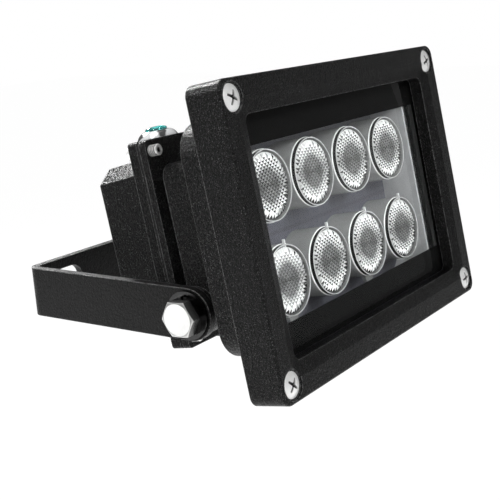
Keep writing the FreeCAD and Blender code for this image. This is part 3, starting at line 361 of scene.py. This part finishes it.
materials = {
    "housing_coat": powder_coat("housing_coat", dark=0.0005, grey=0.024, fleck=0.22,
                                grain=0.9 * MM, depth=1.2 * MM, rough=(0.26, 0.36)),
    "bezel_coat": powder_coat("bezel_coat", dark=0.0003, grey=0.01, fleck=0.18,
                              grain=0.8 * MM, depth=0.9 * MM, rough=(0.26, 0.36)),
    "bracket_coat": powder_coat("bracket_coat", dark=0.004, grey=0.011, fleck=0.03,
                                grain=0.9 * MM, depth=0.3 * MM, rough=(0.3, 0.4)),
    "bright_steel": plated("bright_steel", (0.76, 0.76, 0.75), (0.2, 0.28), metallic=0.6),
    "nickel_screw": plated("nickel_screw", (0.93, 0.93, 0.92), (0.25, 0.4), metallic=0.35),
    "sensor_chrome": polished_dome("sensor_chrome", (0.92, 0.93, 0.94)),
    "window_glass": clear_glass("window_glass", (0.97, 0.985, 0.98), rough=0.0, index=1.22),
    "sensor_glass": clear_glass("sensor_glass", (0.12, 0.62, 0.6), rough=0.05, index=1.46),
    "mask_print": plastic("mask_print", (0.004, 0.004, 0.004), (0.6, 0.7), depth=0.01 * MM,
                          shine=0.05),
    "black_rubber": plastic("black_rubber", (0.012, 0.012, 0.012), (0.6, 0.75)),
    "lens_plastic": lens_face("lens_plastic"),
    "holder_plastic": lens_holder_plastic("holder_plastic"),
    "tray_plastic": plastic("tray_plastic", (0.45, 0.45, 0.46), (0.35, 0.5)),
    "board_mask": circuit_board("board_mask"),
    "heat_pad": plastic("heat_pad", (0.4, 0.45, 0.5), (0.6, 0.8)),
    "emitter": plastic("emitter", (0.75, 0.7, 0.5), (0.1, 0.2)),
    "component": plastic("component", (0.03, 0.03, 0.035), (0.4, 0.5)),
    "wire": plastic("wire", (0.35, 0.03, 0.02), (0.3, 0.4)),
    "gland_nylon": plastic("gland_nylon", (0.018, 0.018, 0.02), (0.4, 0.55)),
    "cell": plastic("cell", (0.5, 0.22, 0.06), (0.3, 0.4)),
}

# Materials of single pieces that differ from the rest of their slot: darker copies as painted shade on
# the rear cover and painted dark reflections on the washers, and a white key

shaded_cover_coat = powder_coat("shaded_cover_coat", dark=0.0003, grey=0.008, fleck=0.25,
                         grain=0.9 * MM, depth=1.2 * MM, rough=(0.26, 0.36))
dark_reflection_steel = plated("dark_reflection_steel", (0.05, 0.05, 0.05), (0.12, 0.2))
key_plastic = plastic("key_plastic", (0.9, 0.9, 0.9), (0.15, 0.3))


def dress_nodes():
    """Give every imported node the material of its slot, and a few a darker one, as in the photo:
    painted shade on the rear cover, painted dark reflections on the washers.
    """
    darker = {"rear_cover": shaded_cover_coat}
    for word in ("left", "right"):
        darker["flat_washer_" + word] = dark_reflection_steel
        darker["lock_washer_" + word] = dark_reflection_steel
    for part in frame["record"]["subparts"]:
        node = nodes[part["node"]]
        node.data.materials.clear()
        node.data.materials.append(darker.get(part["node"], materials[part["material_slot"]]))


# Meshes

ROUND_STEPS = 96


def new_piece(name, mesh, slot, place=LAMP, body="lamp"):
    """An object drawn in its own frame that rides on a body."""
    piece = bpy.data.objects.new(name, mesh)
    scene.collection.objects.link(piece)
    piece.matrix_world = place
    mesh.materials.append(materials[slot])
    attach(piece, body)
    return piece


def join_loops(mesh, loops):
    """Faces between one loop of points and the next; a loop may be a single point."""
    for one, other in zip(loops, loops[1:]):
        for step in range(len(other)):
            following = (step + 1) % len(other)
            quad = [one[step % len(one)], one[following % len(one)], other[following], other[step]]
            mesh.faces.new(list(dict.fromkeys(quad)))


def circle(mesh, radius, level, steps):
    """Points on a circle round the y axis."""
    loop = []
    for step in range(steps):
        angle = 2 * math.pi * step / steps
        loop.append(mesh.verts.new((radius * math.cos(angle), level, radius * math.sin(angle))))
    return loop


def lathe_ring(profile, steps):
    """A closed ring turned about y; the profile is a closed loop of (radius, y)."""
    mesh = bmesh.new()
    loops = [circle(mesh, radius, level, steps) for radius, level in profile]
    join_loops(mesh, loops + loops[:1])
    bmesh.ops.recalc_face_normals(mesh, faces=mesh.faces)
    return mesh


def to_mesh(built, name, smooth_degrees=None):
    mesh = bpy.data.meshes.new(name)
    built.to_mesh(mesh)
    built.free()
    if smooth_degrees is not None:
        mesh.shade_smooth()
        mesh.set_sharp_from_angle(angle=math.radians(smooth_degrees))
    return mesh


# Lenses with a face of small crossed prisms

PRISM_PITCH = 1.3 * MM
PRISM_RISE = 0.5 * MM
PRISM_MARGIN = 0.45 * PRISM_PITCH
LENS_SINK = 0.8 * MM
LENS_SPREAD = 0.35 * MM
LENS_DISC = 2.2 * MM
LENS_WELL = 3 * MM
CONE_SHARE = 0.86
CONE_END_SHARE = 0.43
WELL_SHARE = 0.25
PRISM_TURNS = (42, 49, 38, 45, 51, 40, 47, 43)


def prism_lens(node, turn):
    """A collimating lens: prism face, disc, cone and the well over the emitter."""
    low, high = lamp_box(node)
    radius = half_width(node) + LENS_SPREAD
    front = lamp_box(node.replace("lens", "lens_holder"))[0].y + LENS_SINK
    mesh = bmesh.new()
    count = int(radius / PRISM_PITCH) + 1
    turned = Matrix.Rotation(math.radians(turn), 3, "Y")
    grid = {}

    def corner(i, j):
        if (i, j) not in grid:
            grid[i, j] = mesh.verts.new(turned @ Vector((i * PRISM_PITCH, 0, j * PRISM_PITCH)))
        return grid[i, j]

    for i in range(-count, count):
        for j in range(-count, count):
            middle = Vector(((i + 0.5) * PRISM_PITCH, -PRISM_RISE, (j + 0.5) * PRISM_PITCH))
            if math.hypot(middle.x, middle.z) > radius - PRISM_MARGIN:
                continue
            tip = mesh.verts.new(turned @ middle)
            ring = [corner(i, j), corner(i, j + 1), corner(i + 1, j + 1), corner(i + 1, j)]
            for one, other in zip(ring, ring[1:] + ring[:1]):
                mesh.faces.new((one, other, tip))
    edge = [e for e in mesh.edges if e.is_boundary]
    for vertex in {v for e in edge for v in e.verts}:
        out = math.hypot(vertex.co.x, vertex.co.z)
        vertex.co *= radius / out
    deep = high.y - front
    profile = [(1.0, LENS_DISC), (CONE_SHARE, LENS_DISC), (CONE_END_SHARE, deep),
               (WELL_SHARE, deep), (WELL_SHARE, deep - LENS_WELL)]
    for share, y in profile:
        made = bmesh.ops.extrude_edge_only(mesh, edges=edge)["geom"]
        edge = [g for g in made if isinstance(g, bmesh.types.BMEdge)]
        for vertex in {v for e in edge for v in e.verts}:
            out = math.hypot(vertex.co.x, vertex.co.z)
            vertex.co.x *= radius * share / out
            vertex.co.z *= radius * share / out
            vertex.co.y = y
    bmesh.ops.holes_fill(mesh, edges=edge, sides=0)
    bmesh.ops.recalc_face_normals(mesh, faces=mesh.faces)
    centre = Vector(((low.x + high.x) / 2, front, (low.z + high.z) / 2))
    place = LAMP @ Matrix.Translation(centre)
    piece = new_piece("shown_" + node, to_mesh(mesh, node), "lens_plastic", place)
    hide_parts(node)


# Lens holders: a thin lip in front of the lens, on a slightly wider cup

LEDGE = 1.2 * MM
KEY_TURN = 80
KEY_SIZE = (0.5 * MM, 0.9 * MM, 2.6 * MM)


def lipped_holder(node, lens_node):
    low, high = lamp_box(node)
    lens_low, lens_high = lamp_box(lens_node)
    radius = half_width(node)
    bore = half_width(lens_node) - LEDGE
    middle = (lens_low + lens_high) / 2
    long = high.y - low.y
    ledge = LENS_SINK + LENS_DISC
    outer = radius - LIP_STEP
    inner = outer - LIP
    profile = [(inner, ledge), (inner, 0.1 * MM), (inner + 0.1 * MM, 0), (outer - 0.1 * MM, 0),
               (outer, 0.12 * MM), (outer, LIP_DEPTH), (radius, LIP_DEPTH + LIP_STEP),
               (radius, long), (bore, long), (bore, ledge)]
    ring = lathe_ring(profile, ROUND_STEPS)
    place = LAMP @ Matrix.Translation(Vector((middle.x, low.y, middle.z)))
    piece = new_piece("shown_" + node, to_mesh(ring, node, 35), "holder_plastic", place)
    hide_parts(node)
    if middle.z < 0:
        add_key(node, place, radius)


def add_key(node, place, radius):
    """Small white key on top of a lower holder."""
    angle = math.radians(KEY_TURN)
    mesh = bmesh.new()
    bmesh.ops.create_cube(mesh, size=1)
    spot = Vector((radius * math.cos(angle), LIP_DEPTH - KEY_SIZE[1] / 2, radius * math.sin(angle)))
    size = Matrix.Diagonal((*KEY_SIZE, 1))
    bmesh.ops.transform(mesh, matrix=Matrix.Translation(spot) @ size, verts=mesh.verts)
    key = new_piece("key_" + node, to_mesh(mesh, "key"), "holder_plastic", place)
    key.data.materials[0] = key_plastic
    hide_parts(node)


# Front screws with a cross recess

CROSS_WIDE = 0.55 * MM
CROSS_DEEP = 1.5 * MM
CROSS_WALL = 0.12 * MM
CROSS_END = 0.3 * MM
CROSS_TAPER = 0.35
CROSS_RISE = 0.45
# Depth at which the painted shade in a cross is at its darkest.
CROSS_SHADE_DEPTH = 0.5 * MM
CREST_SHARE = 0.2
ROOT_SHARE = 0.6
SCREW_SHANK = 2 * MM
SCREW_PITCH = 0.7 * MM
SCREW_GROOVE = 0.38 * MM
SCREW_TURNS = (22, 64, 48, 8)
SCREW_CROWN = 1.0 * MM
SCREW_CROSS = 2.5 * MM


def quarter_boxes(node):
    """Boxes of a node's four like solids, one in each quarter of the lamp's front."""
    groups = {}
    for vertex in nodes[node].data.vertices:
        point = TO_LAMP @ vertex.co
        groups.setdefault((point.x > 0, point.z > 0), []).append(point)
    return [corners(points) for points in groups.values()]


def cross_depth(x, z, reach):
    """Depth of a cross recess at a point of the head; its arms taper and rise outwards."""
    share = 0
    for along, beside in ((x, z), (z, x)):
        taper = CROSS_WIDE * (1 - CROSS_TAPER * min(1, abs(along) / reach))
        wall = (taper - abs(beside)) / CROSS_WALL
        end = (reach - abs(along)) / CROSS_END
        share = max(share, min(1, max(0, wall)) * min(1, max(0, end)))
    middle = 1 - math.hypot(x, z) / reach
    return CROSS_DEEP * share * (1 - CROSS_RISE * (1 - max(0, middle)))


def crossed_head(radius, crown, reach, turn, steps=120, rings=44):
    """Crown of a screw head as a disc at y = crown(r), with a cross recess cut in and painted shade
    inside it.
    """
    mesh = bmesh.new()
    recess = mesh.verts.layers.float.new("recess")
    loops = [[mesh.verts.new((0, crown(0) + cross_depth(0, 0, reach), 0))]]
    loops[0][0][recess] = 1
    cosine, sine = math.cos(turn), math.sin(turn)
    for ring in range(1, rings + 1):
        out = radius * ring / rings
        loop = []
        for step in range(steps):
            angle = 2 * math.pi * step / steps
            x, z = out * math.cos(angle), out * math.sin(angle)
            deep = cross_depth(x * cosine + z * sine, z * cosine - x * sine, reach)
            point = mesh.verts.new((x, crown(out) + deep, z))
            # Painted shade in the cross, darker the deeper it is cut.
            point[recess] = min(1, deep / CROSS_SHADE_DEPTH)
            loop.append(point)
        loops.append(loop)
    join_loops(mesh, loops)
    return mesh, loops[-1]


def close_behind(mesh, rim, profile):
    """Carry the head's rim backwards to a flat end; profile is (radius, y, painted shade)."""
    shade = mesh.verts.layers.float["recess"]
    loops = [rim]
    for radius, y, recess in profile:
        loop = []
        for vertex in rim:
            out = math.hypot(vertex.co.x, vertex.co.z)
            point = mesh.verts.new((vertex.co.x * radius / out, y, vertex.co.z * radius / out))
            point[shade] = recess
            loop.append(point)
        loops.append(loop)
    join_loops(mesh, loops)
    mesh.faces.new(loops[-1])
    bmesh.ops.recalc_face_normals(mesh, faces=mesh.faces)


def thread(radius, start, end, pitch=SCREW_PITCH, depth=SCREW_GROOVE):
    """Profile of a screw thread for close_behind, with painted shade in its grooves."""
    profile = [(radius, start, 0)]
    for turn in range(int((end - start) / pitch)):
        at = start + turn * pitch
        profile += [(radius, at + pitch * CREST_SHARE, 0),
                    (radius - depth, at + pitch * ROOT_SHARE, 1)]
    return profile


def front_screws():
    for number, (low, high) in enumerate(quarter_boxes("bezel_screws")):
        radius = (high.x - low.x) / 2
        ball = (radius ** 2 + SCREW_CROWN ** 2) / (2 * SCREW_CROWN)

        def crown(out):
            return ball - math.sqrt(ball ** 2 - out ** 2)

        mesh, rim = crossed_head(radius, crown, SCREW_CROSS, math.radians(SCREW_TURNS[number]))
        neck = SCREW_CROWN + radius - SCREW_SHANK
        end = high.y - low.y
        close_behind(mesh, rim, thread(SCREW_SHANK, neck, end) + [(SCREW_SHANK, end, 0)])
        centre = Vector(((low.x + high.x) / 2, low.y, (low.z + high.z) / 2))
        piece = new_piece("shown_screw_%d" % number, to_mesh(mesh, "screw", 40), "nickel_screw",
                          LAMP @ Matrix.Translation(centre))
        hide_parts("bezel_screws")


# Light sensor: low polished dome with a glass disc in its top

DISC_RADIUS = 4.1 * MM
DISC_SIDE = 0.6 * MM
DISC_CROWN = 0.9 * MM
DISC_SINK = 0.2 * MM
DISC_LEDGE = 0.3 * MM
RIM = 0.4 * MM
STEM_STEP = 2 * MM
STEM_PITCH = 1.25 * MM
STEM_GROOVE = 0.5 * MM
STEM_BORE = 1.8 * MM


def light_sensor():
    low, high = lamp_box("sensor_housing")
    washer_low, washer_high = lamp_box("sensor_washer")
    cell_floor = lamp_box("sensor_cell")[0].z - low.z
    radius = (high.x - low.x) / 2
    stem = radius - STEM_STEP
    bore = half_width("sensor_cell") + 0.1 * MM
    foot = washer_high.z - low.z
    seat = foot + DOME_EDGE + DOME_RISE
    dome = [(DISC_RADIUS + (radius - DISC_RADIUS) * math.cos(math.radians(angle)),
             foot + DOME_EDGE + DOME_RISE * math.sin(math.radians(angle)))
            for angle in range(0, 91, 6)]
    profile = [(stem - RIM, 0), (stem, RIM)]
    for turn in range(int((washer_low.z - low.z) / STEM_PITCH)):
        at = RIM + turn * STEM_PITCH
        profile += [(stem, at + 0.1 * MM), (stem - STEM_GROOVE, at + 0.6 * MM)]
    profile += [(stem, foot), (radius - RIM, foot), (radius, foot + RIM)] + dome
    profile += [(DISC_RADIUS - DISC_LEDGE, seat - DISC_LEDGE), (bore, seat - DISC_LEDGE),
                (bore, cell_floor), (STEM_BORE, cell_floor), (STEM_BORE, 0)]
    centre = Vector(((low.x + high.x) / 2, (low.y + high.y) / 2, low.z))
    upright = LAMP @ Matrix.Translation(centre) @ Matrix.Rotation(math.radians(90), 4, "X")
    body = new_piece("shown_sensor", to_mesh(lathe_ring(profile, 120), "sensor", 50),
                     "sensor_chrome", upright)
    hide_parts("sensor_housing")
    sensor_disc(upright, seat)


def sensor_disc(upright, seat):
    """Glass disc: a rounded side and a shallow crown, closed below."""
    mesh = bmesh.new()
    side = seat + DISC_SIDE
    crown = [(DISC_RADIUS * math.cos(math.radians(angle)),
              side + DISC_CROWN * math.sin(math.radians(angle))) for angle in range(0, 90, 6)]
    outline = [(DISC_RADIUS - DISC_LEDGE, seat - DISC_SINK), (DISC_RADIUS, seat + 0.1 * MM)] + crown
    loops = [[mesh.verts.new((0, seat - DISC_SINK, 0))]]
    loops += [circle(mesh, out, level, ROUND_STEPS) for out, level in outline]
    join_loops(mesh, loops)
    mesh.faces.new(loops[-1])
    bmesh.ops.recalc_face_normals(mesh, faces=mesh.faces)
    disc = new_piece("shown_sensor_disc", to_mesh(mesh, "sensor_disc", 40), "sensor_glass", upright)
    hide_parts("sensor_lens")


# Pivot bolts: hexagon heads with a thin chamfer

HEAD_SHARE = 0.92
HEAD_FACE = 0.95
HEAD_SLOPE = 18
HEAD_BLUNT = 0.12 * MM
BOLT_PITCH = 1.25 * MM
BOLT_GROOVE = 0.6 * MM


def hexagon_head(corner, height, phase, steps=120):
    """Round face at y = 0, its chamfer and the flats down to the seat; phase is a corner's angle."""
    mesh = bmesh.new()
    recess = mesh.verts.layers.float.new("recess")
    flat = corner * math.cos(math.radians(30))
    face = flat * HEAD_FACE
    loops = [[mesh.verts.new((0, 0, 0))], [], [], [], [], []]
    for step in range(steps):
        turned = 360 * step / steps
        angle = math.radians(turned) + phase
        out = flat / math.cos(math.radians(turned % 60 - 30))
        drop = (out - face) * math.tan(math.radians(HEAD_SLOPE))
        outline = ((face - HEAD_BLUNT * 2, 0), (face, 0), (out - HEAD_BLUNT, drop),
                   (out, drop + HEAD_BLUNT), (out, height))
        for loop, (radius, y) in zip(loops[1:], outline):
            loop.append(mesh.verts.new((radius * math.cos(angle), y, radius * math.sin(angle))))
    join_loops(mesh, loops)
    # Painted shade: a dark line round the face, fading across the chamfer, and dark flats, standing in
    # for the dark surroundings they reflect.
    for loop, shade in ((loops[2], 0.6), (loops[4], 0.8), (loops[5], 0.97)):
        for vertex in loop:
            vertex[recess] = shade
    return mesh, loops[-1]


def pivot_bolts():
    for word, side in (("left", -1), ("right", 1)):
        node = "pivot_bolt_" + word
        low, high = lamp_box(node)
        washer_low, washer_high = lamp_box("lock_washer_" + word)
        axis = (low + high) / 2
        top, end, seat = high.x, low.x, washer_high.x
        if side < 0:
            top, end, seat = low.x, high.x, washer_low.x
        place = (LAMP @ Matrix.Translation((top, axis.y, axis.z))
                 @ Matrix.Rotation(side * math.radians(90), 4, "Z"))
        inwards = place.inverted()
        points = [inwards @ vertex.co for vertex in nodes[node].data.vertices]
        tip = max(points, key=lambda point: math.hypot(point.x, point.z))
        corner = math.hypot(tip.x, tip.z) * HEAD_SHARE
        far = max(points, key=lambda point: point.y)
        shank = math.hypot(far.x, far.z)
        height = abs(seat - top)
        long = abs(end - top)
        mesh, rim = hexagon_head(corner, height, math.atan2(tip.z, tip.x))
        profile = thread(shank, height, long - BOLT_PITCH, BOLT_PITCH, BOLT_GROOVE)
        profile += [(shank, long - BOLT_GROOVE, 0), (shank - BOLT_GROOVE, long, 0)]
        close_behind(mesh, rim, profile)
        bolt = new_piece("shown_" + node, to_mesh(mesh, node, 12), "bright_steel", place)
        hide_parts(node)


# Rear cover screws: threaded ends and cross recesses

COVER_SCREW_TURNS = (35, 10, 60, 80)
COVER_SCREW_CROSS = 1.9 * MM
COVER_SCREW_HEAD = 1.6 * MM
COVER_SCREW_CROWN = 0.5 * MM
COVER_SCREW_BLUNT = 0.35 * MM


def cover_screws():
    for number, (low, high) in enumerate(quarter_boxes("cover_screws")):
        radius = (high.x - low.x) / 2

        def crown(out):
            return COVER_SCREW_CROWN * (out / radius) ** 2

        turn = math.radians(COVER_SCREW_TURNS[number])
        mesh, rim = crossed_head(radius, crown, COVER_SCREW_CROSS, turn, 72, 26)
        long = high.y - low.y
        profile = [(radius, COVER_SCREW_HEAD, 0)]
        profile += thread(SCREW_SHANK, COVER_SCREW_HEAD, long - 0.5 * MM)
        # A blunt end with a drilled centre mark, which carries painted shade.
        profile += [(SCREW_SHANK, long - COVER_SCREW_BLUNT, 0),
                    (SCREW_SHANK - COVER_SCREW_BLUNT, long, 0),
                    (1.0 * MM, long, 0.1), (0.8 * MM, long - 0.7 * MM, 1)]
        close_behind(mesh, rim, profile)
        centre = Vector(((low.x + high.x) / 2, high.y, (low.z + high.z) / 2))
        place = LAMP @ Matrix.Translation(centre) @ Matrix.Rotation(math.pi, 4, "X")
        piece = new_piece("shown_cover_screw_%d" % number, to_mesh(mesh, "cover_screw", 40),
                          "nickel_screw", place)
        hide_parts("cover_screws")


# Gland cap with grip ridges

CAP_STEPS = 144
RIDGE_STEPS = 6
CAP_GROOVE = 0.45 * MM
CAP_FLOOR = 2.4 * MM
CAP_BORE = 3.4 * MM


def ridged_cap():
    low, high = lamp_box("gland_cap")
    radius = (high.x - low.x) / 2
    long = high.z - low.z
    levels = [(radius * 0.72, 0, 0), (radius * 0.84, 0, 0), (radius * 0.94, 0.6 * MM, 0),
              (radius, 1.6 * MM, CAP_GROOVE), (radius, long - 0.5 * MM, CAP_GROOVE),
              (radius * 0.95, long, 0), (radius * 0.79, long, 0), (radius * 0.79, CAP_FLOOR, 0),
              (CAP_BORE, CAP_FLOOR, 0), (CAP_BORE, 0, 0)]
    mesh = bmesh.new()
    loops = []
    for wide, level, groove in levels:
        loop = []
        for step in range(CAP_STEPS):
            angle = 2 * math.pi * step / CAP_STEPS
            out = wide - groove if step % RIDGE_STEPS >= 4 else wide
            loop.append(mesh.verts.new((out * math.cos(angle), out * math.sin(angle), level)))
        loops.append(loop)
    join_loops(mesh, loops + loops[:1])
    bmesh.ops.recalc_face_normals(mesh, faces=mesh.faces)
    centre = Vector(((low.x + high.x) / 2, (low.y + high.y) / 2, low.z))
    cap = new_piece("shown_gland_cap", to_mesh(mesh, "gland_cap", 30), "gland_nylon",
                    LAMP @ Matrix.Translation(centre))
    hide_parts("gland_cap")


# Camera, lights, floor

CAMERA_PLACE = (-0.30139, -0.28633, 0.09876)
CAMERA_TURN = (76.439, 3.939, -54.875)
CAMERA_LENS = 72.15
SENSOR_WIDTH = 36.0
FLOOR_LEVEL = -0.22
FLOOR_GLOW = 1.03
FLOOR_GLOW_SHARE = 0.96
ROOM_LEVEL = 0.08
GLOSS_LEVEL = 0.06


def make_camera():
    data = bpy.data.cameras.new("camera")
    data.lens = CAMERA_LENS
    data.sensor_width = SENSOR_WIDTH
    data.clip_start = 0.01
    camera = bpy.data.objects.new("camera", data)
    camera.location = CAMERA_PLACE
    camera.rotation_euler = [math.radians(angle) for angle in CAMERA_TURN]
    scene.collection.objects.link(camera)
    scene.camera = camera


def soft_light(name, place, target, size, power):
    data = bpy.data.lights.new(name, "AREA")
    data.shape = "RECTANGLE"
    data.size, data.size_y = size
    data.energy = power
    lamp = bpy.data.objects.new(name, data)
    lamp.location = place
    aim = Vector(target) - Vector(place)
    lamp.rotation_mode = "QUATERNION"
    lamp.rotation_quaternion = aim.to_track_quat("-Z", "Y")
    scene.collection.objects.link(lamp)


def make_world():
    """White for the camera and through glass, dim in reflections and dimmer as room light."""
    world = bpy.data.worlds.new("studio")
    scene.world = world
    world.use_nodes = True
    tree = world.node_tree
    back = tree.nodes["Background"]
    back.inputs["Color"].default_value = (1, 1, 1, 1)
    path = tree.nodes.new("ShaderNodeLightPath")
    seen = tree.nodes.new("ShaderNodeMath")
    seen.operation = "MAXIMUM"
    tree.links.new(path.outputs["Is Camera Ray"], seen.inputs[0])
    tree.links.new(path.outputs["Is Transmission Ray"], seen.inputs[1])
    level = tree.nodes.new("ShaderNodeMapRange")
    level.inputs["To Min"].default_value = ROOM_LEVEL
    level.inputs["To Max"].default_value = 1.0
    shine = tree.nodes.new("ShaderNodeMath")
    shine.operation = "MULTIPLY"
    shine.inputs[1].default_value = GLOSS_LEVEL
    either = tree.nodes.new("ShaderNodeMath")
    either.operation = "MAXIMUM"
    tree.links.new(path.outputs["Is Glossy Ray"], shine.inputs[0])
    tree.links.new(seen.outputs["Value"], either.inputs[0])
    tree.links.new(shine.outputs["Value"], either.inputs[1])
    tree.links.new(either.outputs["Value"], level.inputs["Value"])
    tree.links.new(level.outputs["Result"], back.inputs["Strength"])


def make_floor():
    """A plain pale floor below the lamp; most of its white is the same in every light."""
    mesh = bmesh.new()
    bmesh.ops.create_grid(mesh, x_segments=1, y_segments=1, size=4)
    floor = bpy.data.objects.new("floor", to_mesh(mesh, "floor"))
    floor.location.z = FLOOR_LEVEL
    scene.collection.objects.link(floor)
    material = bpy.data.materials.new("floor")
    material.use_nodes = True
    tree = material.node_tree
    shader = tree.nodes["Principled BSDF"]
    shader.inputs["Base Color"].default_value = (0.9, 0.9, 0.9, 1)
    shader.inputs["Roughness"].default_value = 0.9
    glow = tree.nodes.new("ShaderNodeEmission")
    mix = tree.nodes.new("ShaderNodeMixShader")
    path = tree.nodes.new("ShaderNodeLightPath")
    share = tree.nodes.new("ShaderNodeMath")
    share.operation = "MULTIPLY"
    share.inputs[1].default_value = FLOOR_GLOW_SHARE
    glow.inputs["Strength"].default_value = FLOOR_GLOW
    tree.links.new(path.outputs["Is Camera Ray"], share.inputs[0])
    tree.links.new(share.outputs["Value"], mix.inputs["Fac"])
    tree.links.new(shader.outputs["BSDF"], mix.inputs[1])
    tree.links.new(glow.outputs["Emission"], mix.inputs[2])
    tree.links.new(mix.outputs["Shader"], tree.nodes["Material Output"].inputs["Surface"])
    floor.data.materials.append(material)


def make_lights():
    middle = (0, -0.08, 0.02)
    soft_light("key", (-0.55, 0.05, 0.75), middle, (0.12, 0.12), 6)
    soft_light("front", (-0.25, -0.9, 0.5), middle, (0.2, 0.2), 5)
    soft_light("left", (-0.65, 0.42, -0.06), middle, (0.16, 0.2), 0.7)
    soft_light("right", (1.04, -0.30, 0.1), middle, (0.6, 0.9), 0.3)
    soft_light("rim_right", (0.45, 0.76, 0.47), middle, (0.16, 0.16), 7)
    soft_light("rim_left", (0.09, 0.82, 0.64), middle, (0.16, 0.16), 6)
    soft_light("ceiling", (-0.1, 0.2, 0.95), middle, (1.1, 0.5), 2.0)
    soft_light("side", (-1.1, -0.3, 0.35), middle, (0.3, 0.9), 0.5)
    soft_light("low", (-0.35, -0.5, -0.18), middle, (0.3, 0.2), 0.8)


dress_nodes()
for number, turn in enumerate(PRISM_TURNS, start=1):
    prism_lens("lens_%d" % number, turn)
    lipped_holder("lens_holder_%d" % number, "lens_%d" % number)
front_screws()
light_sensor()
pivot_bolts()
cover_screws()
ridged_cap()
make_camera()
make_world()
make_floor()
make_lights()
